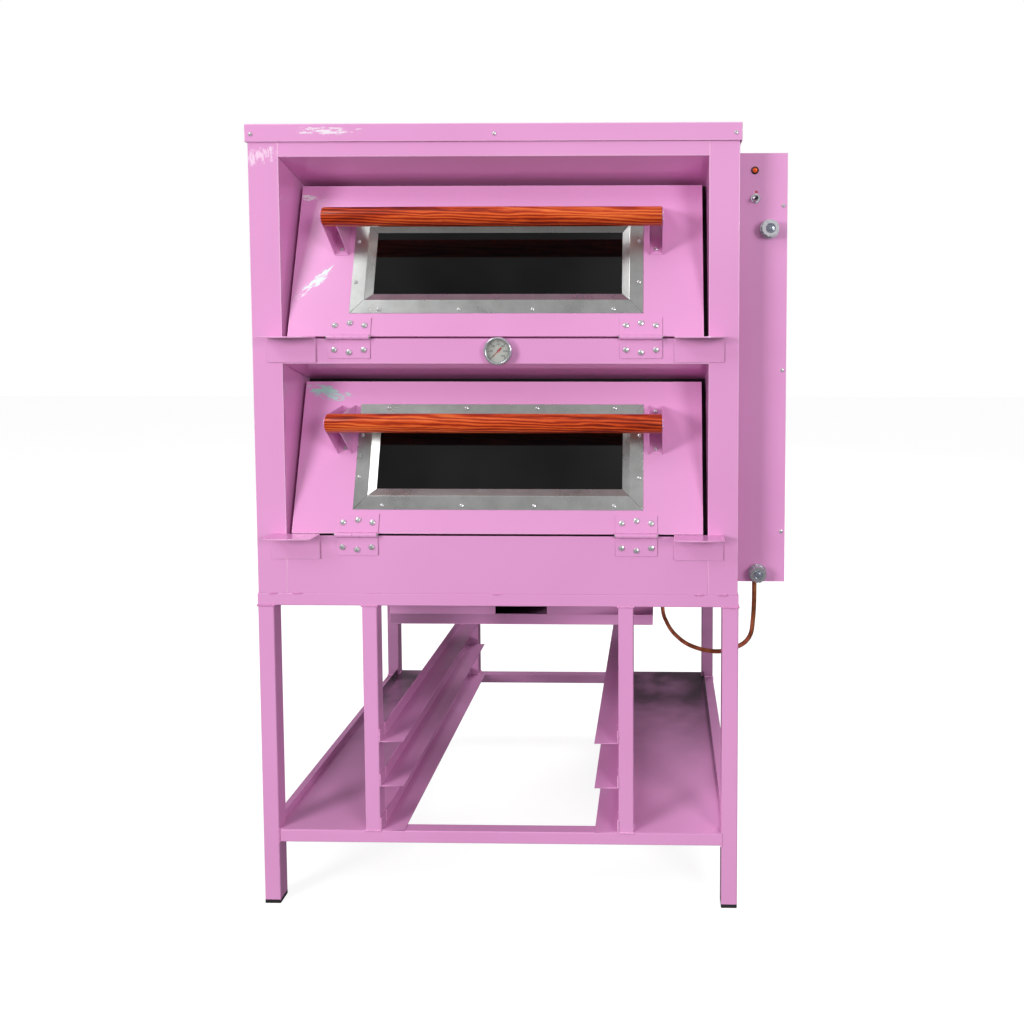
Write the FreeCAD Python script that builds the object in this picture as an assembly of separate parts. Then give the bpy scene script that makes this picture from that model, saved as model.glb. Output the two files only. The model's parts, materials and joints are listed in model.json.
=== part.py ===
import FreeCAD, Part
import math
import os

from FreeCAD import Vector

# Two-deck gas baking oven in folded sheet steel, standing on a welded tube frame.
# Millimetres. +X is the oven's right, +Y is towards its back, +Z is up.
# The model is built with x = 0 on the oven's centre plane and y = 0 on the plane of its
# front fascias. The last step moves everything so that the origin is the centre of the
# whole assembly's footprint, at floor level.

# ---------------------------------------------------------------- driving dimensions
# stand
stand_width = 952.0
stand_depth = 800.0
stand_height = 637.0
leg_size = 32.0
rail_size = 25.0
post_size = 30.0
tube_wall = 1.5
foot_height = 8.0
foot_spigot = 15.0
lower_rail_z = 128.5
tray_gap = 478.0            # clear width between the tray rail webs
tray_rail_count = 3
tray_rail_pitch = 91.0
tray_flange = 48.0
tray_web = 25.0
tray_sheet = 2.0
shelf_sheet = 1.2
shelf_lip = 15.0

# oven casing
body_width = 948.0
body_depth = 790.0
casing_sheet = 1.5
jamb_width = 59.0
lid_lip = 34.0
lid_overhang = 4.0
header_height = 28.0
base_height = 118.0         # stand top to the lower door's hinge pin
deck_pitch = 388.0          # hinge pin to hinge pin
upper_opening = 347.0       # upper hinge pin to the header's lower edge
fascia_height = 49.0        # middle fascia between the decks
hinge_edge_drop = 2.5       # fascia's top edge below the hinge pin
door_lean = 16.0            # degrees that a closed door leans back

# doors
door_thickness = 34.0
door_side_gap = 9.0
door_top_gap = 14.0
door_bottom_gap = 3.0       # door's bottom edge above the hinge pin
door_sheet = 1.2
frame_gap = 1.0             # closed door's back to the front frame
window_width = 576.0        # trim, outside
window_height = 213.0
window_bottom = 50.0        # trim's lower edge above the hinge pin
trim_flange = 27.0
trim_bevel = 15.0
trim_bevel_depth = 8.0
trim_sheet = 1.2
trim_mitre_gap = 0.2
trim_screw_inset = 8.0
glass_thickness = 4.0
glass_overlap = 8.0

# handles
handle_length = 654.0
handle_diameter = 38.0
handle_standoff = 72.0      # door face to the bar's centre
handle_drop = 100.0         # door's top edge to the bar's centre
bracket_width = 28.0
bracket_base = 100.0
bracket_nose = 16.0
bracket_sheet = 1.5

# hinges and door rests
knuckle_radius = 5.0
knuckle_count = 5
hinge_pin_radius = 3.0
running_clearance = 0.05
knuckle_gap = 0.4
leaf_length = 82.0
leaf_reach = 41.0
leaf_sheet = 2.0
leaf_screw_pitch = 29.0
leaf_screw_near = 24.5
leaf_screw_far = 29.5
upper_hinge_x = 284.0
lower_hinge_x = 275.0
rest_x = 397.0
rest_width = 96.0
rest_plate = 50.0
rest_reach = 48.0
rest_sheet = 3.0
rest_rise = 1.5             # top of the rest above the hinge pin

# chambers
chamber_width = 740.0
chamber_back = 730.0
chamber_sheet = 1.5
frame_sheet = 2.0
frame_sill = 42.0
frame_head = 38.0
hearth_sheet = 5.0
hearth_gap = 2.0
hearth_ledge = 25.0
rack_height = 130.0
rack_rod = 5.0
rack_rim = 8.0
rack_pitch = 40.0
rack_side_gap = 4.0
runner_size = 16.0
wool_gap = 2.0
wool_setback = 12.0         # behind the deepest edge of the door recesses

# burner and flue
burner_box_width = 610.0
burner_box_front = 280.0
burner_box_back = 700.0
burner_box_depth = 159.0
burner_sheet = 1.5
slot_width = 120.0
slot_height = 42.0
slot_lift = 24.0            # lighting slot above the burner box's bottom
burner_y = 455.0
burner_lift = 62.0          # burner pipe's centre above the burner box's bottom
burner_radius = 17.0
burner_wall = 2.0
mixer_radius = 24.0
port_radius = 1.5
port_pitch = 20.0
flue_radius = 62.0
flue_wall = 1.5
flue_rise = 100.0
flue_y = 640.0
flue_flange = 170.0
flue_neck = 86.0

# control box on the right side
control_width = 100.0
control_depth = 150.0
control_setback = 60.0
control_bottom = 10.0       # above the stand's top
control_height = 860.0
control_sheet = 1.2
cover_screw_inset = 8.0
lamp_x = 35.0               # these four from the control box's left side
toggle_x = 36.0
thermostat_x = 64.0
valve_x = 45.0
lamp_z = 826.0              # these four from the control box's bottom
toggle_z = 771.0
thermostat_z = 710.0
valve_z = 19.0
knob_gap = 1.5
thermostat_knob_radius = 19.0
thermostat_knob_length = 22.0
valve_knob_radius = 18.0
valve_knob_length = 20.0
knob_flutes = 12
knob_stem_radius = 3.0
stem_hole_gap = 1.0
gas_line_y = 110.0
gas_pipe_radius = 8.0
gas_pipe_wall = 2.0
inlet_radius = 10.48        # half-inch pipe thread, outside
inlet_length = 22.0
copper_radius = 4.76        # three-eighths tube
copper_wall = 0.9
nut_flats = 17.0
nut_length = 20.0
nut_bore_gap = 0.2
valve_body_drop = 8.0       # gas valve body's bottom below its knob's centre
toggle_throw = 24.0         # degrees between the lever's two places

# thermometer in the middle fascia
thermometer_x = 8.0         # it stands at mid height of the fascia
bezel_radius = 27.5
bezel_depth = 14.0
bezel_wall = 3.0
dial_radius = 24.0
dial_sheet = 0.8
lens_sheet = 1.5
stem_radius = 3.0
stem_length = 90.0
needle_length = 17.0
needle_rest = 225.0         # degrees clockwise from twelve o'clock, at rest

# fasteners
screw_hole_gap = 0.1
small_head = 4.0
small_head_height = 2.4
small_shank = 1.9
hinge_head = 6.0
hinge_head_height = 4.0
hinge_shank = 2.5

# ---------------------------------------------------------------- worked-out places
body_half = body_width / 2
stand_half = stand_width / 2
opening_half = body_half - jamb_width
door_half = opening_half - door_side_gap
chamber_half = chamber_width / 2
lid_half = body_half + lid_overhang
lower_axis_z = stand_height + base_height
upper_axis_z = lower_axis_z + deck_pitch
lid_bottom_z = upper_axis_z + upper_opening + header_height
lid_top_z = lid_bottom_z + lid_lip
casing_top_z = lid_top_z - casing_sheet
lean_sin = math.sin(math.radians(door_lean))
lean_cos = math.cos(math.radians(door_lean))
door_back = knuckle_radius + door_thickness
frame_face = door_back + frame_gap
frame_back = frame_face + frame_sheet
thermometer_z = upper_axis_z - hinge_edge_drop - fascia_height / 2
glass_front = knuckle_radius + trim_bevel_depth
rail_top_z = lower_rail_z + rail_size
top_rail_z = stand_height - rail_size
tray_half = tray_gap / 2
control_z = stand_height + control_bottom
control_x = body_half
control_back = control_setback + control_depth
burner_bottom_z = stand_height - burner_box_depth
burner_z = burner_bottom_z + burner_lift
burner_end_x = burner_box_width / 2


# ---------------------------------------------------------------- shape helpers
def box(x0, x1, y0, y1, z0, z1):
    """Return a block between two corners."""
    return Part.makeBox(x1 - x0, y1 - y0, z1 - z0, Vector(x0, y0, z0))


def rod(radius, start, direction, length):
    """Return a round bar from a point along a direction."""
    return Part.makeCylinder(radius, length, Vector(*start), Vector(*direction))


def tube(radius, wall, start, direction, length):
    """Return a round pipe from a point along a direction."""
    return rod(radius, start, direction, length).cut(rod(radius - wall, start, direction, length))


def cone(radius_a, radius_b, start, direction, length):
    """Return a round taper from a point along a direction."""
    return Part.makeCone(radius_a, radius_b, length, Vector(*start), Vector(*direction))


def prism_x(outline, x0, x1):
    """Return a side view outline of (y, z) points made solid from x0 to x1."""
    points = [Vector(x0, y, z) for y, z in outline]
    face = Part.Face(Part.makePolygon(points + points[:1]))
    return face.extrude(Vector(x1 - x0, 0, 0))


def fuse(shapes):
    """Join shapes that touch into one clean solid."""
    return shapes[0].multiFuse(shapes[1:]).removeSplitter()


def cut_all(shape, tools):
    """Take every tool out of a shape."""
    return shape.cut(Part.makeCompound(tools)) if tools else shape


def mirror(shape):
    """Return a shape's twin on the other side of the centre plane."""
    return shape.mirror(Vector(0, 0, 0), Vector(1, 0, 0))


def pair(shape):
    """Return a shape and its twin on the other side."""
    return [shape, mirror(shape)]


def square_tube(x0, x1, y0, y1, z0, z1, axis):
    """Return a square tube that fills a block and is open along axis 0, 1 or 2."""
    low = [x0, y0, z0]
    high = [x1, y1, z1]
    for side in range(3):
        if side != axis:
            low[side] += tube_wall
            high[side] -= tube_wall
    bore = box(low[0], high[0], low[1], high[1], low[2], high[2])
    return box(x0, x1, y0, y1, z0, z1).cut(bore)


def solid_from_faces(loops):
    """Return the solid that flat faces enclose, given each face's corners."""
    faces = [Part.Face(Part.makePolygon([Vector(*p) for p in loop + loop[:1]])) for loop in loops]
    solid = Part.Solid(Part.Shell(faces))
    if solid.Volume < 0:
        solid.reverse()
    return solid


class Screw:
    """A round-headed screw: its solid, and the hole that clears it."""

    def __init__(self, seat, direction, head, height, shank, length):
        """Set the head's seat, and the direction from the head to the shank's tip."""
        back = [-c for c in direction]
        top = [s + b * height for s, b in zip(seat, back)]
        head_solid = cone(head, 0.62 * head, seat, back, height)
        slot = rod(0.2 * head, [t - 0.4 * b * height for t, b in zip(top, back)], back, height)
        self.solid = fuse([head_solid, rod(shank, seat, direction, length)]).cut(slot)
        start = [s + b for s, b in zip(seat, back)]
        self.hole = rod(shank + screw_hole_gap, start, direction, length + 2)


def solids_of(screws):
    """Return the solids of a list of screws."""
    return [screw.solid for screw in screws]


def holes_of(screws):
    """Return the holes of a list of screws."""
    return [screw.hole for screw in screws]


# ---------------------------------------------------------------- deck geometry
class Deck:
    """One baking deck: the places of its recess, frame, chamber and leaning door.

    A door is modelled upright, with its hinge pin on the X axis: y is the depth behind
    the pin and z is the height above it. place() leans it back and lifts it to its pin.
    """

    def __init__(self, name, axis_z, opening, hinge_x):
        """Set the deck's name, pin height, opening height and hinge offset."""
        self.name = name
        self.axis_z = axis_z
        self.hinge_x = hinge_x
        self.head_z = axis_z + opening
        self.sill_u = knuckle_radius * lean_sin - hinge_edge_drop * lean_cos
        self.soffit_u = knuckle_radius * lean_sin + opening * lean_cos
        self.door_top = self.soffit_u - door_top_gap
        self.open_low = self.sill_u + frame_sill
        self.open_high = self.soffit_u - frame_head
        self.handle_u = self.door_top - handle_drop
        self.floor_z = self.point(frame_back, self.open_low)[1]
        self.ceiling_z = self.point(frame_back, self.open_high)[1]

    def point(self, depth, height):
        """Return the (y, z) of a point given by its depth and height in the door's frame."""
        y = depth * lean_cos + height * lean_sin - knuckle_radius
        z = height * lean_cos - depth * lean_sin + self.axis_z
        return y, z

    def frame_y(self, z, depth):
        """Return the y at height z on the leaning plane at a given depth."""
        height = (z - self.axis_z + depth * lean_sin) / lean_cos
        return self.point(depth, height)[0]

    def place(self, shape):
        """Return an upright door piece leaned back and set on its hinge pin."""
        placed = shape.copy()
        placed.rotate(Vector(0, 0, 0), Vector(1, 0, 0), -door_lean)
        placed.translate(Vector(0, -knuckle_radius, self.axis_z))
        return placed


lower_deck = Deck("lower", lower_axis_z, deck_pitch - hinge_edge_drop - fascia_height, lower_hinge_x)
upper_deck = Deck("upper", upper_axis_z, upper_opening, upper_hinge_x)
decks = [lower_deck, upper_deck]
parts = {}


# ---------------------------------------------------------------- stand
def build_stand():
    """Build the tube frame, the tray rails, the side shelves and the foot caps."""
    leg_x = stand_half - leg_size
    legs = []
    caps = []
    for y in (0.0, stand_depth - leg_size):
        leg = square_tube(leg_x, stand_half, y, y + leg_size, foot_height, top_rail_z, 2)
        legs += pair(leg)
        cap = box(leg_x, stand_half, y, y + leg_size, 0, foot_height)
        inset = tube_wall + screw_hole_gap
        spigot = box(leg_x + inset, stand_half - inset, y + inset, y + leg_size - inset,
                     foot_height, foot_height + foot_spigot)
        caps += pair(fuse([cap, spigot]))
    back = stand_depth - post_size
    front_post = square_tube(tray_half, tray_half + post_size, 0, post_size, rail_top_z, top_rail_z, 2)
    back_post = square_tube(tray_half - post_size, tray_half, back, stand_depth,
                            rail_top_z, top_rail_z, 2)
    parts["stand_uprights"] = legs + pair(front_post) + pair(back_post)
    parts["foot_caps"] = caps

    rails = []
    for z, half, side_start in ((top_rail_z, stand_half, rail_size), (lower_rail_z, leg_x, leg_size)):
        for y in (0.0, stand_depth - rail_size):
            rails.append(square_tube(-half, half, y, y + rail_size, z, z + rail_size, 0))
        side = square_tube(stand_half - rail_size, stand_half, side_start, stand_depth - side_start,
                           z, z + rail_size, 1)
        rails += pair(side)
    parts["stand_rails"] = rails

    angles = []
    for level in range(tray_rail_count):
        z = rail_top_z + level * tray_rail_pitch
        web = box(tray_half - tray_sheet, tray_half, 0, back, z, z + tray_web)
        flange = box(tray_half - tray_flange, tray_half, 0, back, z, z + tray_sheet)
        angles += pair(fuse([web, flange]))
    parts["tray_rails"] = angles

    shelf_edge = stand_half - rail_size - 1
    top = rail_top_z + shelf_sheet
    sheet = box(tray_half, shelf_edge, 0, stand_depth, rail_top_z, top)
    lip = box(shelf_edge - shelf_sheet, shelf_edge, leg_size, stand_depth - leg_size,
              rail_top_z, top + shelf_lip)
    notches = [box(leg_x, stand_half, -1, leg_size, rail_top_z - 1, top + 1),
               box(leg_x, stand_half, stand_depth - leg_size, stand_depth + 1, rail_top_z - 1, top + 1),
               box(tray_half - 1, tray_half + post_size, -1, post_size, rail_top_z - 1, top + 1)]
    parts["side_shelves"] = pair(cut_all(fuse([sheet, lip]), notches))


# ---------------------------------------------------------------- casing
def cheek(deck):
    """Return the right wall of a door recess, behind the jamb."""
    outline = [(0, deck.axis_z - hinge_edge_drop),
               deck.point(frame_back, deck.sill_u),
               deck.point(frame_back, deck.soffit_u),
               (0, deck.head_z)]
    return prism_x(outline, opening_half, opening_half + casing_sheet)


def sill_outline(deck):
    """Return the side view of the sheet under a door."""
    front = (0, deck.axis_z - hinge_edge_drop)
    under = (0, front[1] - casing_sheet / lean_cos)
    return [front, deck.point(frame_back, deck.sill_u),
            deck.point(frame_back, deck.sill_u - casing_sheet), under]


def soffit_outline(deck):
    """Return the side view of the sheet over a door."""
    front = (0, deck.head_z)
    over = (0, front[1] + casing_sheet / lean_cos)
    return [front, deck.point(frame_back, deck.soffit_u),
            deck.point(frame_back, deck.soffit_u + casing_sheet), over]


def flue_square(half, bottom, top):
    """Return a square column about the flue's centre line."""
    return box(-half, half, flue_y - half, flue_y + half, bottom, top)


def build_casing(lid_screws):
    """Build the folded outer sheets above the stand, except the fascias and the floor."""
    side = box(body_half - casing_sheet, body_half, 0, body_depth, stand_height, casing_top_z)
    jamb = box(opening_half, body_half, 0, casing_sheet, stand_height, casing_top_z)
    right = fuse([side, jamb] + [cheek(deck) for deck in decks])
    holes = holes_of(lid_screws)
    parts["left_side_panel"] = [cut_all(mirror(right), holes)]
    parts["right_side_panel"] = [cut_all(right, holes)]

    inner = body_half - casing_sheet
    parts["back_panel"] = [box(-inner, inner, body_depth - casing_sheet, body_depth,
                               stand_height, casing_top_z)]

    lid_front = -lid_overhang
    lid_back = body_depth + lid_overhang
    outer = box(-lid_half, lid_half, lid_front, lid_back, lid_bottom_z, lid_top_z)
    hollow = box(-lid_half + casing_sheet, lid_half - casing_sheet, lid_front + casing_sheet,
                 lid_back - casing_sheet, lid_bottom_z, casing_top_z)
    flue_hole = flue_square(flue_neck / 2 + flue_wall + screw_hole_gap, lid_bottom_z, lid_top_z + 1)
    parts["lid"] = [cut_all(outer.cut(hollow), [flue_hole] + holes)]

    header = box(-opening_half, opening_half, 0, casing_sheet, upper_deck.head_z, casing_top_z)
    soffit = prism_x(soffit_outline(upper_deck), -opening_half, opening_half)
    parts["header_panel"] = [cut_all(fuse([header, soffit]), holes)]


def build_fascias(holes):
    """Build the fascias below each door and the floor pan, with holes for their screws."""
    fascia_top = upper_axis_z - hinge_edge_drop
    middle = box(-opening_half, opening_half, 0, casing_sheet, lower_deck.head_z, fascia_top)
    folds = [prism_x(sill_outline(upper_deck), -opening_half, opening_half),
             prism_x(soffit_outline(lower_deck), -opening_half, opening_half)]
    stem_hole = rod(stem_radius + stem_hole_gap, (thermometer_x, -1, thermometer_z), (0, 1, 0), 4)
    parts["middle_fascia"] = [cut_all(fuse([middle] + folds), holes + [stem_hole])]
    top = lower_axis_z - hinge_edge_drop
    bottom = box(-opening_half, opening_half, 0, casing_sheet, stand_height, top)
    sill = prism_x(sill_outline(lower_deck), -opening_half, opening_half)
    parts["bottom_fascia"] = [cut_all(fuse([bottom, sill]), holes)]

    inner = body_half - casing_sheet
    pan = box(-inner, inner, casing_sheet, body_depth - casing_sheet,
              stand_height, stand_height + casing_sheet)
    throat = box(-burner_end_x + burner_sheet, burner_end_x - burner_sheet,
                 burner_box_front + burner_sheet, burner_box_back - burner_sheet,
                 stand_height - 1, stand_height + 3)
    parts["floor_pan"] = [pan.cut(throat)]


# ---------------------------------------------------------------- chambers
def build_front_frames():
    """Build the leaning frames that the closed doors meet."""
    strips = []
    for deck in decks:
        spans = [(-opening_half, opening_half, deck.sill_u, deck.open_low),
                 (-opening_half, opening_half, deck.open_high, deck.soffit_u),
                 (-opening_half, -chamber_half, deck.open_low, deck.open_high),
                 (chamber_half, opening_half, deck.open_low, deck.open_high)]
        for x0, x1, u0, u1 in spans:
            strips.append(deck.place(box(x0, x1, frame_face, frame_back, u0, u1)))
    parts["front_frames"] = strips


def build_chamber(deck):
    """Build one deck's walls, hearth ledges and rack runners as a welded liner."""
    floor = deck.floor_z - hearth_sheet
    low = floor - chamber_sheet
    high = deck.ceiling_z
    wall_outline = [(deck.frame_y(low, frame_back), low), (chamber_back, low),
                    (chamber_back, high), (deck.frame_y(high, frame_back), high)]
    wall = prism_x(wall_outline, chamber_half, chamber_half + chamber_sheet)
    front = deck.frame_y(high + chamber_sheet, frame_back)
    outer = chamber_half + chamber_sheet
    ceiling = box(-outer, outer, front, chamber_back + chamber_sheet, high, high + chamber_sheet)
    if deck is upper_deck:
        ceiling = ceiling.cut(flue_square(flue_neck / 2, high - 1, high + 3))
    back = box(-outer, outer, chamber_back, chamber_back + chamber_sheet, low, high)
    ledge_front = deck.frame_y(floor, frame_back) + 1
    ledge = box(chamber_half - hearth_ledge, chamber_half, ledge_front, chamber_back, low, floor)
    runner_z = deck.floor_z + rack_height - chamber_sheet
    runner_front = deck.frame_y(runner_z, frame_back) + 12
    shelf = box(chamber_half - runner_size, chamber_half, runner_front, chamber_back,
                runner_z, runner_z + chamber_sheet)
    web = box(chamber_half - chamber_sheet, chamber_half, runner_front, chamber_back,
              runner_z - runner_size, runner_z)
    runner = fuse([shelf, web])
    parts[deck.name + "_chamber_liner"] = (
        pair(wall) + [ceiling, back] + pair(ledge) + pair(runner))


def build_hearths_and_racks():
    """Build the steel hearth plate and the loose wire rack of each deck."""
    plates = []
    racks = []
    for deck in decks:
        half = chamber_half - hearth_gap
        floor = deck.floor_z - hearth_sheet
        front = deck.frame_y(floor, frame_back) + hearth_gap
        plates.append(box(-half, half, front, chamber_back - hearth_gap, floor, deck.floor_z))

        rim = rack_rim / 2
        z = deck.floor_z + rack_height + rim
        half = chamber_half - chamber_sheet - rack_side_gap - rim
        front = deck.frame_y(z, frame_back) + 20
        back = chamber_back - rack_side_gap - rim
        bars = [rod(rim, (-half, y, z), (1, 0, 0), 2 * half) for y in (front, (front + back) / 2, back)]
        bars += [rod(rim, (x, front, z), (0, 1, 0), back - front) for x in (-half, half)]
        count = int(2 * half / rack_pitch)
        step = 2 * half / (count + 1)
        lift = rim + rack_rod / 2 - 1
        for index in range(1, count + 1):
            bars.append(rod(rack_rod / 2, (-half + index * step, front, z + lift), (0, 1, 0), back - front))
        racks.append(fuse(bars))
    parts["hearth_plates"] = plates
    parts["wire_racks"] = racks


def build_insulation():
    """Build the mineral wool blocks between the chambers and the casing."""
    inner = chamber_half + chamber_sheet + wool_gap
    outer = body_half - casing_sheet - wool_gap
    back = body_depth - casing_sheet - wool_gap
    chamber_rear = chamber_back + chamber_sheet + wool_gap
    bottom = stand_height + casing_sheet + wool_gap
    roof = upper_deck.ceiling_z + chamber_sheet + wool_gap
    top = casing_top_z - wool_gap
    deepest = [deck.point(frame_back, deck.soffit_u + casing_sheet)[0] for deck in decks]
    wool_front = max(deepest) + wool_setback
    side = box(inner, outer, wool_front, back, bottom, top)
    rear = box(-inner + 1, inner - 1, chamber_rear, back, bottom, roof - 1)
    over = box(-inner + 1, inner - 1, wool_front, back, roof, top)
    over = over.cut(flue_square(flue_neck / 2 + flue_wall + wool_gap, roof - 1, top + 1))
    low = lower_deck.ceiling_z + chamber_sheet + wool_gap
    high = upper_deck.floor_z - hearth_sheet - chamber_sheet - wool_gap
    middle = box(-inner + 1, inner - 1, wool_front, chamber_back, low, high)
    parts["insulation_blocks"] = pair(side) + [rear, over, middle]


# ---------------------------------------------------------------- burner and flue
def build_burner():
    """Build the burner box under the oven and the pipe burner inside it."""
    left = -burner_end_x
    right = burner_end_x
    sheet = burner_sheet
    front = burner_box_front
    back = burner_box_back
    low = burner_bottom_z
    high = stand_height
    slot_half = slot_width / 2
    slot_low = low + slot_lift
    slot_high = slot_low + slot_height
    plates = [box(left, right, front, back, low, low + sheet),
              box(left, right, back - sheet, back, low + sheet, high),
              box(left, right, front, front + sheet, low + sheet, slot_low),
              box(left, right, front, front + sheet, slot_high, high),
              box(left, -slot_half, front, front + sheet, slot_low, slot_high),
              box(slot_half, right, front, front + sheet, slot_low, slot_high),
              box(left, left + sheet, front + sheet, back - sheet, low + sheet, high)]
    end = box(right - sheet, right, front + sheet, back - sheet, low + sheet, high)
    plates.append(end.cut(rod(mixer_radius + 1, (right - 5, burner_y, burner_z), (1, 0, 0), 10)))
    parts["burner_box"] = plates

    start = (left + 45, burner_y, burner_z)
    neck = right - 95
    outside = fuse([rod(burner_radius, start, (1, 0, 0), neck - start[0]),
                    cone(burner_radius, mixer_radius, (neck, burner_y, burner_z), (1, 0, 0), 75),
                    rod(mixer_radius, (neck + 75, burner_y, burner_z), (1, 0, 0), 25)])
    bore_start = (start[0] + burner_wall, burner_y, burner_z)
    bore = fuse([rod(burner_radius - burner_wall, bore_start, (1, 0, 0), neck - bore_start[0]),
                 cone(burner_radius - burner_wall, mixer_radius - burner_wall,
                      (neck, burner_y, burner_z), (1, 0, 0), 75),
                 rod(mixer_radius - burner_wall, (neck + 75, burner_y, burner_z), (1, 0, 0), 26)])
    ports = []
    count = int((neck - start[0] - 2 * port_pitch) / port_pitch)
    for index in range(count):
        x = start[0] + port_pitch * (index + 1)
        ports.append(rod(port_radius, (x, burner_y, burner_z), (0, 0, 1), burner_radius + 1))
    feet = [box(x, x + 3, burner_y - 12, burner_y + 12, low + sheet, burner_z - burner_radius + 1)
            for x in (start[0] + 30, neck - 40)]
    parts["burner_pipe"] = [cut_all(fuse([outside] + feet), [bore] + ports)]


def build_flue():
    """Build the square neck from the upper chamber, its flange on the lid and the round stub on that."""
    base = upper_deck.ceiling_z + chamber_sheet
    inner = flue_neck / 2
    flange_top = lid_top_z + casing_sheet
    neck = flue_square(inner + flue_wall, base, lid_top_z).cut(flue_square(inner, base - 1, lid_top_z + 1))
    flange = flue_square(flue_flange / 2, lid_top_z, flange_top)
    parts["flue_neck"] = [neck]
    parts["flue_flange"] = [flange.cut(flue_square(inner, lid_top_z - 1, flange_top + 1))]
    parts["flue_collar"] = [tube(flue_radius, flue_wall, (0, flue_y, flange_top), (0, 0, 1),
                                 flue_rise - casing_sheet)]


# ---------------------------------------------------------------- hinges and rests
def hinge_leaf(centre_x, own):
    """Return an upright hinge leaf that keeps the knuckles whose numbers are in own."""
    pitch = leaf_length / knuckle_count
    start = centre_x - leaf_length / 2
    face = knuckle_radius - leaf_sheet
    root = knuckle_radius + knuckle_gap
    pieces = [box(start, start + leaf_length, face, knuckle_radius, root, leaf_reach)]
    for index in own:
        x0 = start + index * pitch + knuckle_gap / 2
        x1 = start + (index + 1) * pitch - knuckle_gap / 2
        pieces.append(rod(knuckle_radius, (x0, 0, 0), (1, 0, 0), x1 - x0))
        pieces.append(box(x0, x1, face, knuckle_radius, 0, root))
    bore = rod(hinge_pin_radius + running_clearance, (start - 1, 0, 0), (1, 0, 0), leaf_length + 2)
    return fuse(pieces).cut(bore)


def leaf_screws(centre_x):
    """Return the three screws of an upright hinge leaf."""
    places = [(-leaf_screw_pitch, leaf_screw_near), (0, leaf_screw_far),
              (leaf_screw_pitch, leaf_screw_near)]
    face = knuckle_radius - leaf_sheet
    return [Screw((centre_x + x, face, z), (0, 1, 0), hinge_head, hinge_head_height, hinge_shank, 8)
            for x, z in places]


def flip_down(deck, shape):
    """Return an upright leaf piece turned to hang below the pin on the fascia."""
    placed = shape.mirror(Vector(0, 0, 0), Vector(0, 0, 1))
    placed.translate(Vector(0, -knuckle_radius, deck.axis_z))
    return placed


def build_hinges():
    """Build the fixed hinge leaves, their pins and screws, and the door rests."""
    leaves = []
    pins = []
    screws = []
    holes = []
    rests = []
    for deck in decks:
        for x in (-deck.hinge_x, deck.hinge_x):
            leaf = hinge_leaf(x, (0, 2, 4))
            group = leaf_screws(x)
            leaves.append(flip_down(deck, cut_all(leaf, holes_of(group))))
            screws += [flip_down(deck, solid) for solid in solids_of(group)]
            holes += [flip_down(deck, hole) for hole in holes_of(group)]
            half = leaf_length / 2
            centre = (x - half, -knuckle_radius, deck.axis_z)
            ends = [rod(hinge_pin_radius + 1, (x - half - 1.5, centre[1], centre[2]), (1, 0, 0), 1.5),
                    rod(hinge_pin_radius + 1, (x + half, centre[1], centre[2]), (1, 0, 0), 1.5)]
            pins.append(fuse([rod(hinge_pin_radius, centre, (1, 0, 0), leaf_length)] + ends))
        top = deck.axis_z + rest_rise
        x0 = rest_x - rest_width / 2
        x1 = rest_x + rest_width / 2
        plate = box(x0, x1, -rest_sheet, 0, top - rest_plate, top)
        flange = box(x0, x1, -rest_reach, 0, top - rest_sheet, top)
        rests += pair(fuse([plate, flange]))
    parts["fixed_hinge_leaves"] = leaves
    parts["hinge_pins"] = pins
    parts["door_rests"] = rests
    return screws, holes


# ---------------------------------------------------------------- doors
def trim_bar(half_length, run, across):
    """Return one mitred piece of window trim.

    run maps a distance along the piece, a distance in from the trim's outer edge and a
    depth to a point. across is the trim's outer half size in the other direction.
    """
    face = knuckle_radius - trim_sheet
    edge = trim_flange + trim_bevel
    back = knuckle_radius
    section = [(0, face), (trim_flange, face), (edge, glass_front - trim_sheet),
               (edge, glass_front), (trim_flange - trim_sheet / 2, back), (0, back)]
    ends = []
    for side in (-1, 1):
        ends.append([run(side * (half_length - inset - trim_mitre_gap), across - inset, depth)
                     for inset, depth in section])
    loops = [ends[0], ends[1]]
    for index in range(len(section)):
        following = (index + 1) % len(section)
        loops.append([ends[0][index], ends[0][following], ends[1][following], ends[1][index]])
    return solid_from_faces(loops)


def trim_pieces():
    """Return the four mitred pieces of a window's trim, standing on the door's face."""
    half_w = window_width / 2
    half_h = window_height / 2
    mid = window_bottom + half_h
    return [trim_bar(half_w, lambda s, r, d: (s, d, mid + r), half_h),
            trim_bar(half_w, lambda s, r, d: (s, d, mid - r), half_h),
            trim_bar(half_h, lambda s, r, d: (r, d, mid + s), half_w),
            trim_bar(half_h, lambda s, r, d: (-r, d, mid + s), half_w)]


def trim_screws():
    """Return the screws that hold the window trim."""
    half_w = window_width / 2 - trim_screw_inset
    low = window_bottom + trim_screw_inset
    high = window_bottom + window_height - trim_screw_inset
    places = [(x, z) for z in (low, high) for x in (-0.4 * window_width, -0.125 * window_width,
                                                    0.125 * window_width, 0.4 * window_width)]
    places += [(x, window_bottom + share * window_height) for x in (-half_w, half_w)
               for share in (0.3, 0.7)]
    face = knuckle_radius - trim_sheet
    return [Screw((x, face, z), (0, 1, 0), small_head, small_head_height, small_shank, 6)
            for x, z in places]


def tangent(point, centre, radius, side):
    """Return where a line from a point touches a circle, on the side of +1 or -1."""
    gap_y = point[0] - centre[0]
    gap_z = point[1] - centre[1]
    distance = math.hypot(gap_y, gap_z)
    angle = math.atan2(gap_z, gap_y) + side * math.acos(radius / distance)
    return centre[0] + radius * math.cos(angle), centre[1] + radius * math.sin(angle)


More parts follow.
